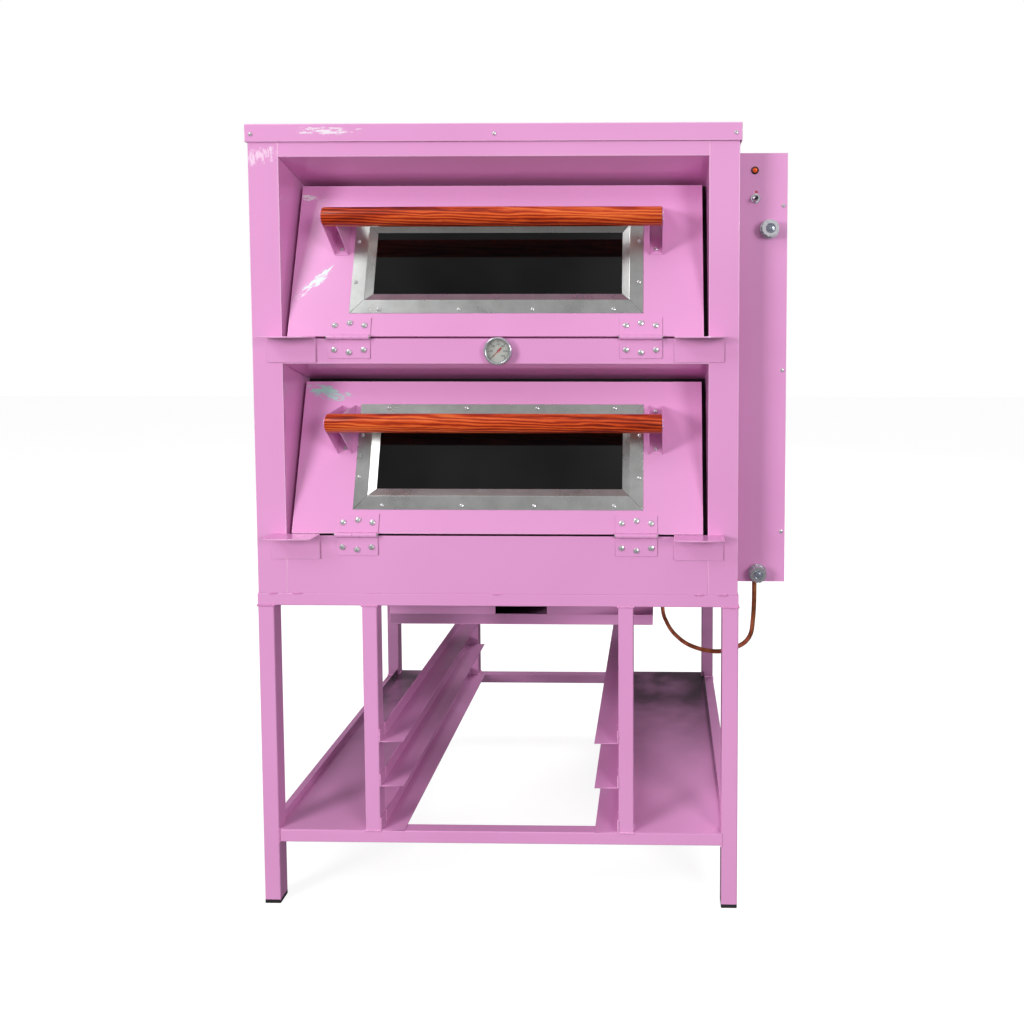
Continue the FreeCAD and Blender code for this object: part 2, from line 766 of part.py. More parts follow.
def bracket_cheek(deck, x0, x1):
    """Return a tapered handle plate from x0 to x1, with a round nose behind the bar's face."""
    centre = (knuckle_radius - handle_standoff, deck.handle_u)
    low = (knuckle_radius, deck.handle_u - bracket_base / 2)
    high = (knuckle_radius, deck.handle_u + bracket_base / 2)
    low_touch = tangent(low, centre, bracket_nose, -1)
    high_touch = tangent(high, centre, bracket_nose, 1)
    nose = (centre[0] - bracket_nose, centre[1])
    corner = [Vector(x0, y, z) for y, z in (low, high, high_touch, nose, low_touch)]
    edges = [Part.makeLine(corner[0], corner[1]), Part.makeLine(corner[1], corner[2]),
             Part.Arc(corner[2], corner[3], corner[4]).toShape(), Part.makeLine(corner[4], corner[0])]
    return Part.Face(Part.Wire(edges)).extrude(Vector(x1 - x0, 0, 0))


def build_handle(deck):
    """Return a door's handle brackets, bar and screws, upright, with the screws' holes."""
    end = handle_length / 2
    inner = end - bracket_width
    radius = handle_diameter / 2
    bar_y = knuckle_radius - handle_standoff
    bar_z = deck.handle_u
    bar_x = end - bracket_sheet
    end_screws = [Screw((end, bar_y, bar_z + lift), (-1, 0, 0), 2.5, 1.6, 1.5, 14) for lift in (-6, 6)]
    base_screws = [Screw(((inner + end) / 2, knuckle_radius - bracket_sheet, bar_z + lift),
                         (0, 1, 0), small_head, small_head_height, small_shank, 6)
                   for lift in (-38, 38)]
    plates = [bracket_cheek(deck, inner, inner + bracket_sheet),
              cut_all(bracket_cheek(deck, end - bracket_sheet, end), holes_of(end_screws)),
              cut_all(box(inner + bracket_sheet, end - bracket_sheet, knuckle_radius - bracket_sheet,
                          knuckle_radius, bar_z - bracket_base / 2, bar_z + bracket_base / 2),
                      holes_of(base_screws))]
    bar = rod(radius, (-bar_x, bar_y, bar_z), (1, 0, 0), 2 * bar_x)
    holes = holes_of(end_screws)
    holes += [mirror(hole) for hole in holes]
    bar = cut_all(bar, holes + [plates[0], mirror(plates[0])])
    brackets = plates + [mirror(plate) for plate in plates]
    screws = solids_of(end_screws + base_screws)
    screws += [mirror(screw) for screw in screws]
    skin_holes = holes_of(base_screws)
    skin_holes += [mirror(hole) for hole in skin_holes]
    return brackets, bar, screws, skin_holes


def build_door(deck):
    """Build one door with its window, handle and moving hinge leaves."""
    bottom = door_bottom_gap
    top = deck.door_top
    sheet = door_sheet
    front = knuckle_radius
    edge = trim_flange + trim_bevel
    pane_x = window_width / 2 - edge + glass_overlap
    pane_low = window_bottom + edge - glass_overlap
    pane_high = window_bottom + window_height - edge + glass_overlap
    hole_x = window_width / 2 - trim_flange + 3
    hole_low = window_bottom + trim_flange - 3
    hole_high = window_bottom + window_height - trim_flange + 3

    brackets, bar, handle_screws, holes = build_handle(deck)
    window_screws = trim_screws()
    holes += holes_of(window_screws)
    leaves = []
    moving_screws = []
    for x in (-deck.hinge_x, deck.hinge_x):
        group = leaf_screws(x)
        leaves.append(cut_all(hinge_leaf(x, (1, 3)), holes_of(group)))
        moving_screws += solids_of(group)
        holes += holes_of(group)

    skin = box(-door_half, door_half, front, door_back - sheet, bottom, top)
    skin = skin.cut(box(-door_half + sheet, door_half - sheet, front + sheet, door_back,
                        bottom + sheet, top - sheet))
    skin = skin.cut(box(-hole_x, hole_x, front - 1, front + sheet + 1, hole_low, hole_high))
    panel = box(-door_half, door_half, door_back - sheet, door_back, bottom, top)
    panel = panel.cut(box(-pane_x + glass_overlap, pane_x - glass_overlap, door_back - 3, door_back + 1,
                          pane_low + glass_overlap, pane_high - glass_overlap))
    wool = box(-door_half + sheet + 1, door_half - sheet - 1, front + 9, door_back - sheet - 1,
               bottom + sheet + 1, top - sheet - 1)
    wool = wool.cut(box(-pane_x - 1, pane_x + 1, front, door_back, pane_low - 1, pane_high + 1))
    inner_front = door_back - sheet - glass_thickness
    panes = [box(-pane_x, pane_x, glass_front, glass_front + glass_thickness, pane_low, pane_high),
             box(-pane_x, pane_x, inner_front, inner_front + glass_thickness, pane_low, pane_high)]
    trims = [cut_all(piece, holes_of(window_screws)) for piece in trim_pieces()]
    groups = {"door_skin": [cut_all(skin, holes)], "door_inner_panel": [panel],
              "door_insulation": [wool], "window_trim": trims, "window_glass": panes,
              "handle_brackets": brackets, "handle_bar": [bar], "hinge_leaves": leaves,
              "door_screws": solids_of(window_screws) + moving_screws + handle_screws}
    for name, shapes in groups.items():
        parts[deck.name + "_" + name] = [deck.place(shape) for shape in shapes]


# ---------------------------------------------------------------- control box
def hexagon(flats, start, length, bore):
    """Return an upright hexagonal nut with a plain bore."""
    radius = flats / math.sqrt(3)
    points = []
    for index in range(6):
        angle = math.radians(60 * index)
        points.append(Vector(start[0] + radius * math.cos(angle), start[1] + radius * math.sin(angle),
                             start[2]))
    face = Part.Face(Part.makePolygon(points + points[:1]))
    solid = face.extrude(Vector(0, 0, length))
    return solid.cut(rod(bore, start, (0, 0, 1), length))


def fluted_knob(x, z, radius, length):
    """Return a fluted knob with its stem, in front of the control cover."""
    back = control_setback - knob_gap
    grip = fuse([rod(radius, (x, back, z), (0, -1, 0), 5),
                 rod(radius - 2, (x, back - 5, z), (0, -1, 0), length - 5)])
    flutes = []
    for index in range(knob_flutes):
        angle = 2 * math.pi * index / knob_flutes
        place = (x + radius * math.cos(angle), back - 6, z + radius * math.sin(angle))
        flutes.append(rod(0.16 * radius, place, (0, -1, 0), length))
    stem = rod(knob_stem_radius, (x, back - 1, z), (0, 1, 0), knob_gap + control_sheet + 16)
    return fuse([cut_all(grip, flutes), stem])


def build_controls():
    """Build the control box, what is mounted in it and the rigid gas line inside it."""
    x0 = control_x
    x1 = control_x + control_width
    z0 = control_z
    z1 = control_z + control_height
    y0 = control_setback + control_sheet
    sheet = control_sheet
    thermostat = (x0 + thermostat_x, z0 + thermostat_z)
    valve = (x0 + valve_x, z0 + valve_z)
    lamp = (x0 + lamp_x, z0 + lamp_z)
    toggle = (x0 + toggle_x, z0 + toggle_z)
    inlet_hole = rod(gas_pipe_radius + screw_hole_gap, (thermostat[0], control_back - 4, thermostat[1]),
                     (0, 1, 0), 6)
    outlet_hole = rod(copper_radius + nut_bore_gap, (valve[0], gas_line_y, z0 - 1), (0, 0, 1), 4)
    walls = [box(x0, x0 + sheet, y0, control_back, z0, z1),
             box(x1 - sheet, x1, y0, control_back, z0, z1),
             box(x0 + sheet, x1 - sheet, control_back - sheet, control_back, z0, z1).cut(inlet_hole),
             box(x0 + sheet, x1 - sheet, y0, control_back - sheet, z0, z0 + sheet).cut(outlet_hole),
             box(x0 + sheet, x1 - sheet, y0, control_back - sheet, z1 - sheet, z1)]
    parts["control_box"] = walls

    screws = [Screw((x1 - cover_screw_inset, control_setback, z0 + share * control_height), (0, 1, 0),
                    small_head, small_head_height, small_shank, 3)
              for share in (0.12, 0.5, 0.88)]
    stem_hole = knob_stem_radius + stem_hole_gap
    holes = [rod(stem_hole, (x, control_setback - 1, z), (0, 1, 0), 4) for x, z in (thermostat, valve)]
    holes.append(rod(6.2, (lamp[0], control_setback - 1, lamp[1]), (0, 1, 0), 4))
    holes.append(rod(6.2, (toggle[0], control_setback - 1, toggle[1]), (0, 1, 0), 4))
    cover = box(x0, x1, control_setback, y0, z0, z1)
    parts["control_cover"] = [cut_all(cover, holes + holes_of(screws))]

    parts["pilot_lamp"] = [
        fuse([rod(7.5, (lamp[0], control_setback, lamp[1]), (0, -1, 0), 3),
              rod(6, (lamp[0], control_setback, lamp[1]), (0, 1, 0), 28)]),
        fuse([rod(5, (lamp[0], control_setback - 3, lamp[1]), (0, -1, 0), 2),
              cone(5, 2.5, (lamp[0], control_setback - 5, lamp[1]), (0, -1, 0), 2.5)])]
    throat = cone(2.6, 4.4, (toggle[0], control_setback - 4, toggle[1]), (0, -1, 0), 8)
    parts["toggle_switch_body"] = [
        fuse([rod(6, (toggle[0], control_setback + 1, toggle[1]), (0, -1, 0), 11),
              rod(10, (toggle[0], control_setback, toggle[1]), (0, -1, 0), 2.5),
              box(toggle[0] - 7, toggle[0] + 7, y0, y0 + 26, toggle[1] - 14, toggle[1] + 14)]
             ).cut(throat)]
    reach = rod(1.6, (toggle[0], control_setback - 5.5, toggle[1]), (0, -1, 0), 15)
    tip = cone(1.6, 2.8, (toggle[0], control_setback - 20.5, toggle[1]), (0, -1, 0), 5)
    lever = fuse([reach, tip])
    lever.rotate(Vector(toggle[0], control_setback - 5.5, toggle[1]), Vector(1, 0, 0), toggle_throw / 2)
    parts["toggle_lever"] = [lever]

    parts["thermostat_knob"] = [fluted_knob(thermostat[0], thermostat[1],
                                            thermostat_knob_radius, thermostat_knob_length)]
    parts["gas_valve_knob"] = [fluted_knob(valve[0], valve[1], valve_knob_radius, valve_knob_length)]
    bodies = {}
    for name, centre, half_w, low, high, depth in (
            ("thermostat_body", thermostat, 20, 26, 30, 62),
            ("gas_valve_body", valve, 19, valve_body_drop, 26, 68)):
        body = box(centre[0] - half_w, centre[0] + half_w, y0 + 2, y0 + depth,
                   centre[1] - low, centre[1] + high)
        bore = rod(knob_stem_radius + running_clearance, (centre[0], y0, centre[1]), (0, 1, 0), 20)
        bodies[name] = body.cut(bore)
    parts["thermostat_body"] = [bodies["thermostat_body"]]
    parts["gas_valve_body"] = [bodies["gas_valve_body"]]

    line_x = (thermostat[0] + valve[0]) / 2
    line_low = valve[1] + 26
    feed_y = y0 + 62
    inlet = fuse([rod(gas_pipe_radius, (thermostat[0], feed_y, thermostat[1]), (0, 1, 0),
                      control_back - feed_y),
                  rod(inlet_radius, (thermostat[0], control_back, thermostat[1]), (0, 1, 0),
                      inlet_length)])
    bore = rod(gas_pipe_radius - gas_pipe_wall, (thermostat[0], feed_y, thermostat[1]), (0, 1, 0),
               control_back + inlet_length - feed_y)
    parts["gas_manifold"] = [
        tube(gas_pipe_radius, gas_pipe_wall, (line_x, gas_line_y, line_low), (0, 0, 1),
             thermostat[1] - 26 - line_low),
        inlet.cut(bore)]
    return screws, valve


# ---------------------------------------------------------------- copper gas tube
def rounded_path(points):
    """Return a wire of straight runs joined by tangent arcs as large as the runs allow."""
    nodes = [Vector(*point) for point in points]
    edges = []
    start = nodes[0]
    for index in range(1, len(nodes) - 1):
        before = nodes[index - 1] - nodes[index]
        after = nodes[index + 1] - nodes[index]
        reach = 0.45 * min(before.Length, after.Length)
        before.normalize()
        after.normalize()
        middle = before + after
        middle.normalize()
        half_turn = (math.pi - before.getAngle(after)) / 2
        radius = reach / math.tan(half_turn)
        first = nodes[index] + before * reach
        last = nodes[index] + after * reach
        apex = nodes[index] + middle * (math.hypot(radius, reach) - radius)
        edges.append(Part.makeLine(start, first))
        edges.append(Part.Arc(first, apex, last).toShape())
        start = last
    edges.append(Part.makeLine(start, nodes[-1]))
    return Part.Wire(edges)


def sweep_circle(path, radius):
    """Return a round bar along a path."""
    start = path.Vertexes[0].Point
    direction = path.Edges[0].tangentAt(path.Edges[0].FirstParameter)
    circle = Part.Wire(Part.makeCircle(radius, start, direction))
    return path.makePipeShell([circle], True, False)


def build_gas_tube(valve):
    """Build the bent copper tube from the gas valve to the burner, and its brass fittings."""
    z0 = control_z
    nut_x = valve[0]
    nut_top = valve[1] - valve_body_drop
    nut_bottom = z0 + control_sheet
    elbow_x = burner_end_x + 22
    elbow = (elbow_x, burner_y, burner_z)
    tube_top = burner_z - 30
    points = [(nut_x, gas_line_y, nut_top - 1),
              (nut_x, gas_line_y, z0 - 72),
              (nut_x - 2, gas_line_y + 30, z0 - 139),
              (nut_x - 16, gas_line_y + 58, z0 - 171),
              (nut_x - 61, gas_line_y + 115, z0 - 211),
              (nut_x - 104, gas_line_y + 168, z0 - 225),
              (nut_x - 139, gas_line_y + 215, z0 - 228),
              (nut_x - 171, gas_line_y + 275, z0 - 219),
              (elbow_x + 3, burner_y - 12, z0 - 200),
              (elbow_x, burner_y, z0 - 170),
              (elbow_x, burner_y, tube_top)]
    path = rounded_path(points)
    bore = sweep_circle(path, copper_radius - copper_wall)
    parts["copper_gas_pipe"] = [sweep_circle(path, copper_radius).cut(bore)]

    nut_bore = copper_radius + nut_bore_gap
    valve_nut = hexagon(nut_flats, (nut_x, gas_line_y, nut_bottom),
                        nut_top - nut_bottom, nut_bore)
    burner_nut = hexagon(nut_flats, (elbow_x, burner_y, tube_top - 14), nut_length, nut_bore)
    block = box(elbow_x - 9, elbow_x + 9, burner_y - 9, burner_y + 9, tube_top + 6, burner_z + 10)
    jet = rod(5, (elbow_x - 9, burner_y, burner_z), (-1, 0, 0), 20)
    jet = jet.cut(rod(0.8, (elbow_x - 8, burner_y, burner_z), (-1, 0, 0), 22))
    parts["brass_fittings"] = [valve_nut, burner_nut, fuse([block, jet])]


# ---------------------------------------------------------------- thermometer
def build_thermometer():
    """Build the dial thermometer in the middle fascia."""
    x = thermometer_x
    z = thermometer_z
    front = -bezel_depth
    case = rod(bezel_radius, (x, 0, z), (0, -1, 0), bezel_depth)
    case = case.cut(rod(bezel_radius - bezel_wall, (x, front - 1, z), (0, 1, 0), bezel_depth - 3))
    stem = rod(stem_radius, (x, -1, z), (0, 1, 0), stem_length)
    spindle = rod(1.0, (x, -4, z), (0, -1, 0), 3.0)
    parts["thermometer_case"] = [fuse([case, stem])]
    dial_y = -4.0
    dial = rod(dial_radius, (x, dial_y, z), (0, -1, 0), dial_sheet)
    parts["thermometer_dial"] = [fuse([dial, spindle])]
    parts["thermometer_lens"] = [rod(dial_radius, (x, front + 1 + lens_sheet, z), (0, -1, 0), lens_sheet)]
    needle_y = dial_y - dial_sheet - 0.6
    hub = rod(2.6, (x, needle_y, z), (0, -1, 0), 1.2)
    blade = box(x - 0.7, x + 0.7, needle_y - 0.9, needle_y - 0.3, z, z + needle_length)
    tail = box(x - 1.8, x + 1.8, needle_y - 0.9, needle_y - 0.3, z - 9, z)
    needle = fuse([hub, blade, tail])
    needle = needle.cut(rod(1.0 + running_clearance, (x, needle_y + 1, z), (0, -1, 0), 4))
    needle.rotate(Vector(x, 0, z), Vector(0, 1, 0), needle_rest)
    parts["thermometer_needle"] = [needle]


# ---------------------------------------------------------------- assembly
def lid_screw_group():
    """Return the screws through the lid's lips."""
    z = (lid_bottom_z + lid_top_z) / 2 - 3
    edge = body_half - 8
    front = [Screw((x, -lid_overhang, z), (0, 1, 0), small_head, small_head_height, small_shank, 8)
             for x in (-edge, 4, edge)]
    reach = lid_overhang + 2 * casing_sheet
    sides = [Screw((side * lid_half, y, z), (-side, 0, 0), small_head, small_head_height, small_shank, reach)
             for side in (-1, 1) for y in (60, body_depth / 2, body_depth - 60)]
    return front + sides


def build_all():
    """Build every piece of the oven into parts."""
    lid_screws = lid_screw_group()
    hinge_screws, hinge_holes = build_hinges()
    build_stand()
    build_casing(lid_screws)
    build_fascias(hinge_holes)
    build_front_frames()
    for deck in decks:
        build_chamber(deck)
        build_door(deck)
    build_hearths_and_racks()
    build_insulation()
    build_burner()
    build_flue()
    control_screws, valve = build_controls()
    build_gas_tube(valve)
    build_thermometer()
    parts["case_screws"] = solids_of(lid_screws) + solids_of(control_screws) + hinge_screws


build_all()
bounds = Part.makeCompound([shape for shapes in parts.values() for shape in shapes]).BoundBox
origin_shift = Vector(-(bounds.XMin + bounds.XMax) / 2, -(bounds.YMin + bounds.YMax) / 2, 0)

if __name__ == "__main__":
    os.makedirs("parts", exist_ok=True)
    for node, shapes in parts.items():
        solids = [solid for shape in shapes for solid in shape.Solids]
        group = solids[0] if len(solids) == 1 else Part.makeCompound(solids)
        group.translate(origin_shift)
        group.exportStep("parts/" + node + ".step")
    print(len(parts), "nodes, origin shift", origin_shift)
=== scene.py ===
import json
import logging
import math
from dataclasses import dataclass, field
from enum import Enum
from typing import Iterable, Optional, Sequence, Union

import bmesh
import bpy
from mathutils import Matrix, Vector


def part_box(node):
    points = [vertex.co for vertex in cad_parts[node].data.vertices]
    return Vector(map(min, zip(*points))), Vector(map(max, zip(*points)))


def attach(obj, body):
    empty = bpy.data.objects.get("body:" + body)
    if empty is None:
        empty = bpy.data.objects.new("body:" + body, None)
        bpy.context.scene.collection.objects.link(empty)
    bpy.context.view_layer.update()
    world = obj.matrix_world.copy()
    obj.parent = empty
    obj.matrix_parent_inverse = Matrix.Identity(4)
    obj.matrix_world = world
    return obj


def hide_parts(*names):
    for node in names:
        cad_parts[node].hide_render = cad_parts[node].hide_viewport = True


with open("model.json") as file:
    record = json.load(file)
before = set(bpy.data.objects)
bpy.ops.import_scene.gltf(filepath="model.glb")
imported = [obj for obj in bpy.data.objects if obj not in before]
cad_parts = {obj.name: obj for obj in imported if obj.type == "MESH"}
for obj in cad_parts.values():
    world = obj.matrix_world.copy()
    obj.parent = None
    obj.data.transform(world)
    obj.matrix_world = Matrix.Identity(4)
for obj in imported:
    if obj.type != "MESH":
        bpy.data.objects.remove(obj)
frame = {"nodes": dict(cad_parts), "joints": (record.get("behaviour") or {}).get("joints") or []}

LOG = logging.getLogger("oven")
Colour = tuple[float, float, float]
Light = tuple[float, float, float, float]
Socket = bpy.types.NodeSocket
Point = Union[Vector, tuple[float, float, float]]


class Body(Enum):
    """The bodies that pieces ride on."""

    OVEN = "oven"
    UPPER_DOOR = "upper_door"
    LOWER_DOOR = "lower_door"
    THERMOSTAT_KNOB = "thermostat_knob"
    GAS_VALVE_KNOB = "gas_valve_knob"
    TOGGLE_LEVER = "toggle_lever"


class Deck(Enum):
    """The two baking decks."""

    UPPER = "upper"
    LOWER = "lower"

    @property
    def door(self) -> Body:
        """The body of this deck's door."""
        return Body.UPPER_DOOR if self is Deck.UPPER else Body.LOWER_DOOR


# ---------------------------------------------------------------- shading helpers
def linear(colour: Colour) -> Light:
    """Turn an sRGB colour of 0 to 255 into linear light.

    Args:
        colour: red, green and blue from 0 to 255.

    Returns:
        The linear colour with full alpha.
    """
    values = [c / 255 for c in colour]
    red, green, blue = [v / 12.92 if v <= 0.04045 else ((v + 0.055) / 1.055) ** 2.4 for v in values]
    return red, green, blue, 1.0


class Nodes:
    """One node tree, with short calls that add nodes and feed them."""

    def __init__(self, tree: bpy.types.NodeTree) -> None:
        """Hold a tree and empty it."""
        self.tree = tree
        tree.nodes.clear()

    def feed(self, value: object, socket: Socket) -> None:
        """Link a socket into an input, or set a constant on it; None leaves it alone."""
        if isinstance(value, bpy.types.NodeSocket):
            self.tree.links.new(value, socket)
        elif value is not None:
            socket.default_value = value

    def add(self, kind: str, *values: object, **words: object) -> bpy.types.Node:
        """Add a node.

        Args:
            kind: the node's type.
            values: what its inputs get, in their order.
            words: in lower case a setting of the node, and with a capital what the input
                of that name gets, with an underscore for a space.

        Returns:
            The node.
        """
        node = self.tree.nodes.new(kind)
        feeds = list(enumerate(values))
        for word, value in words.items():
            if word[0].isupper():
                feeds.append((word.replace("_", " "), value))
            else:
                setattr(node, word, value)
        for slot, value in feeds:
            self.feed(value, node.inputs[slot])
        return node

    def span(self, value: Socket, low: float, high: float, to_low: float, to_high: float) -> Socket:
        """Return a value spread from one range onto another, clamped."""
        return self.add("ShaderNodeMapRange", value, low, high, to_low, to_high).outputs["Result"]

    def ramp(self, value: Socket, stops: Sequence[tuple[float, Light]]) -> Socket:
        """Return a colour picked from linear stops along a value."""
        node = self.add("ShaderNodeValToRGB", value)
        elements = node.color_ramp.elements
        while len(elements) < len(stops):
            elements.new(0.5)
        for element, (position, light) in zip(elements, stops):
            element.position, element.color = position, light
        return node.outputs["Color"]

    def math(self, operation: str, first: Socket, second: Union[Socket, float]) -> Socket:
        """Return two values combined by a math node."""
        return self.add("ShaderNodeMath", first, second, operation=operation).outputs[0]


class Coat(Nodes):
    """One material's node tree, with the patterns that the finishes share."""

    def __init__(self, name: str) -> None:
        """Start a material of a name that holds one principled shader."""
        self.material = bpy.data.materials.new(name)
        self.material.use_nodes = True
        super().__init__(self.material.node_tree)
        self.shader = self.add("ShaderNodeBsdfPrincipled")
        self.add("ShaderNodeOutputMaterial", Surface=self.shader.outputs["BSDF"])
        self.place = self.add("ShaderNodeTexCoord").outputs["Object"]

    def finish(self, **inputs: object) -> bpy.types.Material:
        """Feed the shader's own inputs, with an underscore for a space, and return the material."""
        for name, value in inputs.items():
            self.feed(value, self.shader.inputs[name.replace("_", " ")])
        return self.material

    def stretch(self, scale: Sequence[float], origin: Sequence[float] = (0, 0, 0),
                turn: Sequence[float] = (0, 0, 0)) -> Socket:
        """Return object coordinates moved, turned and stretched.

        Args:
            scale: how many times finer the pattern is along each axis.
            origin: the point that becomes the pattern's centre, in metres.
            turn: the turn about each axis, in radians.

        Returns:
            The changed coordinates.
        """
        moved = self.add("ShaderNodeVectorMath", self.place, origin, operation="SUBTRACT").outputs[0]
        return self.add("ShaderNodeMapping", vector_type="TEXTURE", Vector=moved, Rotation=turn,
                        Scale=[1 / factor for factor in scale]).outputs["Vector"]

    def noise(self, scale: float, detail: float = 3.0, vector: Optional[Socket] = None,
              roughness: float = 0.55, distortion: float = 0.0) -> Socket:
        """Return a noise pattern from 0 to 1."""
        return self.add("ShaderNodeTexNoise", Vector=vector or self.place, Scale=scale, Detail=detail,
                        Roughness=roughness, Distortion=distortion).outputs["Fac"]

    def blend(self, factor: Socket, low: Union[Socket, Colour], high: Union[Socket, Colour]) -> Socket:
        """Return a mix of two colours, each a socket or an sRGB colour."""
        ends = [linear(end) if isinstance(end, tuple) else end for end in (low, high)]
        return self.add("ShaderNodeMix", factor, *[None] * 5, *ends, data_type="RGBA").outputs[2]

    def bump(self, height: Socket, strength: float, distance: float,
             under: Optional[Socket] = None) -> Socket:
        """Return a normal that follows a height, on top of another normal if one is given."""
        return self.add("ShaderNodeBump", Height=height, Strength=strength, Distance=distance,
                        Normal=under).outputs["Normal"]


# ---------------------------------------------------------------- finishes
@dataclass(frozen=True)
class Scuff:
    """A patch where the enamel has been rubbed through to a pale ground."""

    centre: tuple[float, float, float]
    reach: tuple[float, float, float]
    colour: Colour = (247, 236, 246)
    turn: float = 0.0
    wear: float = 0.60


@dataclass(frozen=True)
class Enamel:
    """Glossy baked enamel on folded sheet, with slow tone shifts, orange peel, dust and, where asked,
    painted shade that darkens it towards the back.
    """

    name: str = "enamel"
    base: Colour = (233, 160, 214)
    light: Colour = (237, 164, 218)
    dull: Colour = (227, 155, 208)
    roughness: float = 0.24
    coat: float = 0.5
    scuffs: tuple[Scuff, ...] = ()
    # How strongly the colour darkens towards the back (+Y): painted shade.
    rear_shade: float = 0.0

    def make(self) -> bpy.types.Material:
        """Build the material."""
        coat = Coat(self.name)
        slow = coat.noise(2.3, 2.0)
        cloud = coat.noise(9.0, 2.0, roughness=0.5)
        grit = coat.noise(240.0, 3.0, roughness=0.7)
        tone = coat.blend(coat.span(slow, 0.35, 0.65, 0.0, 1.0), self.dull, self.light)
        tone = coat.blend(coat.span(cloud, 0.25, 0.75, 0.35, 0.65), tone, self.base)
        dust = coat.span(grit, 0.60, 0.78, 0.0, 0.3)
        tone = coat.blend(dust, tone, self.dull)
        rough = coat.span(cloud, 0.2, 0.8, self.roughness - 0.02, self.roughness + 0.03)
        for scuff in self.scuffs:
            where = coat.stretch([1 / r for r in scuff.reach], scuff.centre, (0, scuff.turn, 0))
            away = coat.add("ShaderNodeVectorMath", where, operation="LENGTH").outputs["Value"]
            near = coat.span(away, 0.1, 1.0, 0.2, 0.0)
            torn = coat.noise(1.0, 6.0, coat.stretch((45.0, 45.0, 190.0), turn=(0, scuff.turn, 0)), 0.75)
            worn = coat.span(coat.math("ADD", near, torn), scuff.wear, scuff.wear + 0.07, 0.0, 0.95)
            mask = coat.math("MULTIPLY", worn, coat.span(near, 0.0, 0.05, 0.0, 1.0))
            tone = coat.blend(mask, tone, scuff.colour)
            rough = coat.math("MAXIMUM", rough, coat.span(mask, 0.0, 1.0, 0.0, 0.55))
        # Painted shade: darken towards the back (+Y) to near-black (44, 26, 40), standing in for the shadow
        # under the oven.
        if self.rear_shade:
            depth = coat.add("ShaderNodeSeparateXYZ", coat.place)
            fade = coat.span(depth.outputs["Y"], -0.22, 0.26, 0.0, self.rear_shade)
            rear_shade_mask = coat.math("MULTIPLY", fade, coat.span(cloud, 0.3, 0.6, 0.75, 1.0))
            tone = coat.blend(rear_shade_mask, tone, (44, 26, 40))
        peel = coat.bump(coat.noise(330.0, 2.0), 0.05, 0.0004)
        sheet = coat.bump(coat.noise(3.1, 1.0), 0.35, 0.004, peel)
        return coat.finish(Base_Color=tone, Roughness=rough, Normal=sheet, Coat_Weight=self.coat,
                           Coat_Roughness=0.07, Specular_IOR_Level=0.5)


@dataclass(frozen=True)
class SheetSteel:
    """Bare sheet steel: bright, brushed, spangled or heat-stained."""

    name: str
    low: Colour
    high: Colour
    roughness: float
    grain: tuple[float, float, float] = (6.0, 420.0, 420.0)
    stain: Colour = (150, 128, 96)
    stain_amount: float = 0.0
    metallic: float = 1.0

    def make(self) -> bpy.types.Material:
        """Build the material."""
        coat = Coat(self.name)
        lines = coat.noise(1.0, 4.0, coat.stretch(self.grain), 0.65)
        smudge = coat.noise(14.0, 4.0, roughness=0.6)
        tone = coat.blend(coat.span(lines, 0.3, 0.7, 0.0, 1.0), self.low, self.high)
        stain = coat.span(smudge, 0.45, 0.75, 0.0, self.stain_amount)
        return coat.finish(Base_Color=coat.blend(stain, tone, self.stain), Metallic=self.metallic,
                           Roughness=coat.span(smudge, 0.3, 0.75, self.roughness, self.roughness + 0.14),
                           Normal=coat.bump(lines, 0.06, 0.0003))


@dataclass(frozen=True)
class Plating:
    """Polished metal plate with fine handling marks."""

    name: str
    colour: Colour = (216, 216, 220)
    dark: Colour = (150, 150, 156)
    roughness: float = 0.12
    metallic: float = 1.0

    def make(self) -> bpy.types.Material:
        """Build the material."""
        coat = Coat(self.name)
        marks = coat.noise(180.0, 5.0, roughness=0.7)
        tone = coat.blend(coat.span(marks, 0.35, 0.75, 0.0, 0.8), self.colour, self.dark)
        return coat.finish(Base_Color=tone, Metallic=self.metallic, Normal=coat.bump(marks, 0.05, 0.0002),
                           Roughness=coat.span(marks, 0.3, 0.8, self.roughness, self.roughness + 0.22))


@dataclass(frozen=True)
class VarnishedWood:
    """Red-brown turned wood under thick gloss varnish, with the grain along X."""

    name: str = "varnished_wood"
    dark: Colour = (92, 20, 5)
    brown: Colour = (150, 40, 12)
    red: Colour = (206, 72, 24)
    pale: Colour = (240, 118, 56)

    def make(self) -> bpy.types.Material:
        """Build the material."""
        coat = Coat(self.name)
        bent = coat.noise(1.0, 3.0, coat.stretch((3.2, 26.0, 26.0)), 0.5, 0.6)
        rings = coat.add("ShaderNodeTexWave", bands_direction="Z", Scale=6.0, Distortion=9.0, Detail=4.0,
                         Vector=coat.stretch((1.1, 9.0, 9.0), turn=(0.3, 0.03, 0.0))).outputs["Fac"]
        fibre = coat.noise(1.0, 5.0, coat.stretch((14.0, 900.0, 900.0)), 0.7)
        pores = coat.noise(1.0, 2.0, coat.stretch((42.0, 1500.0, 1500.0)), 0.5)
        figure = coat.math("ADD", coat.math("MULTIPLY", bent, 0.78), coat.math("MULTIPLY", rings, 0.22))
        tone = coat.ramp(figure, ((0.28, linear(self.dark)), (0.40, linear(self.brown)),
                                  (0.52, linear(self.red)), (0.68, linear(self.pale))))
        tone = coat.blend(coat.span(fibre, 0.45, 0.75, 0.0, 0.4), tone, self.brown)
        tone = coat.blend(coat.span(pores, 0.62, 0.72, 0.0, 0.6), tone, self.dark)
        return coat.finish(Base_Color=tone, Roughness=coat.span(fibre, 0.3, 0.7, 0.30, 0.42),
                           Normal=coat.bump(fibre, 0.10, 0.0003), Coat_Weight=0.25, Coat_Roughness=0.12,
                           Coat_IOR=1.5, Specular_IOR_Level=0.2)


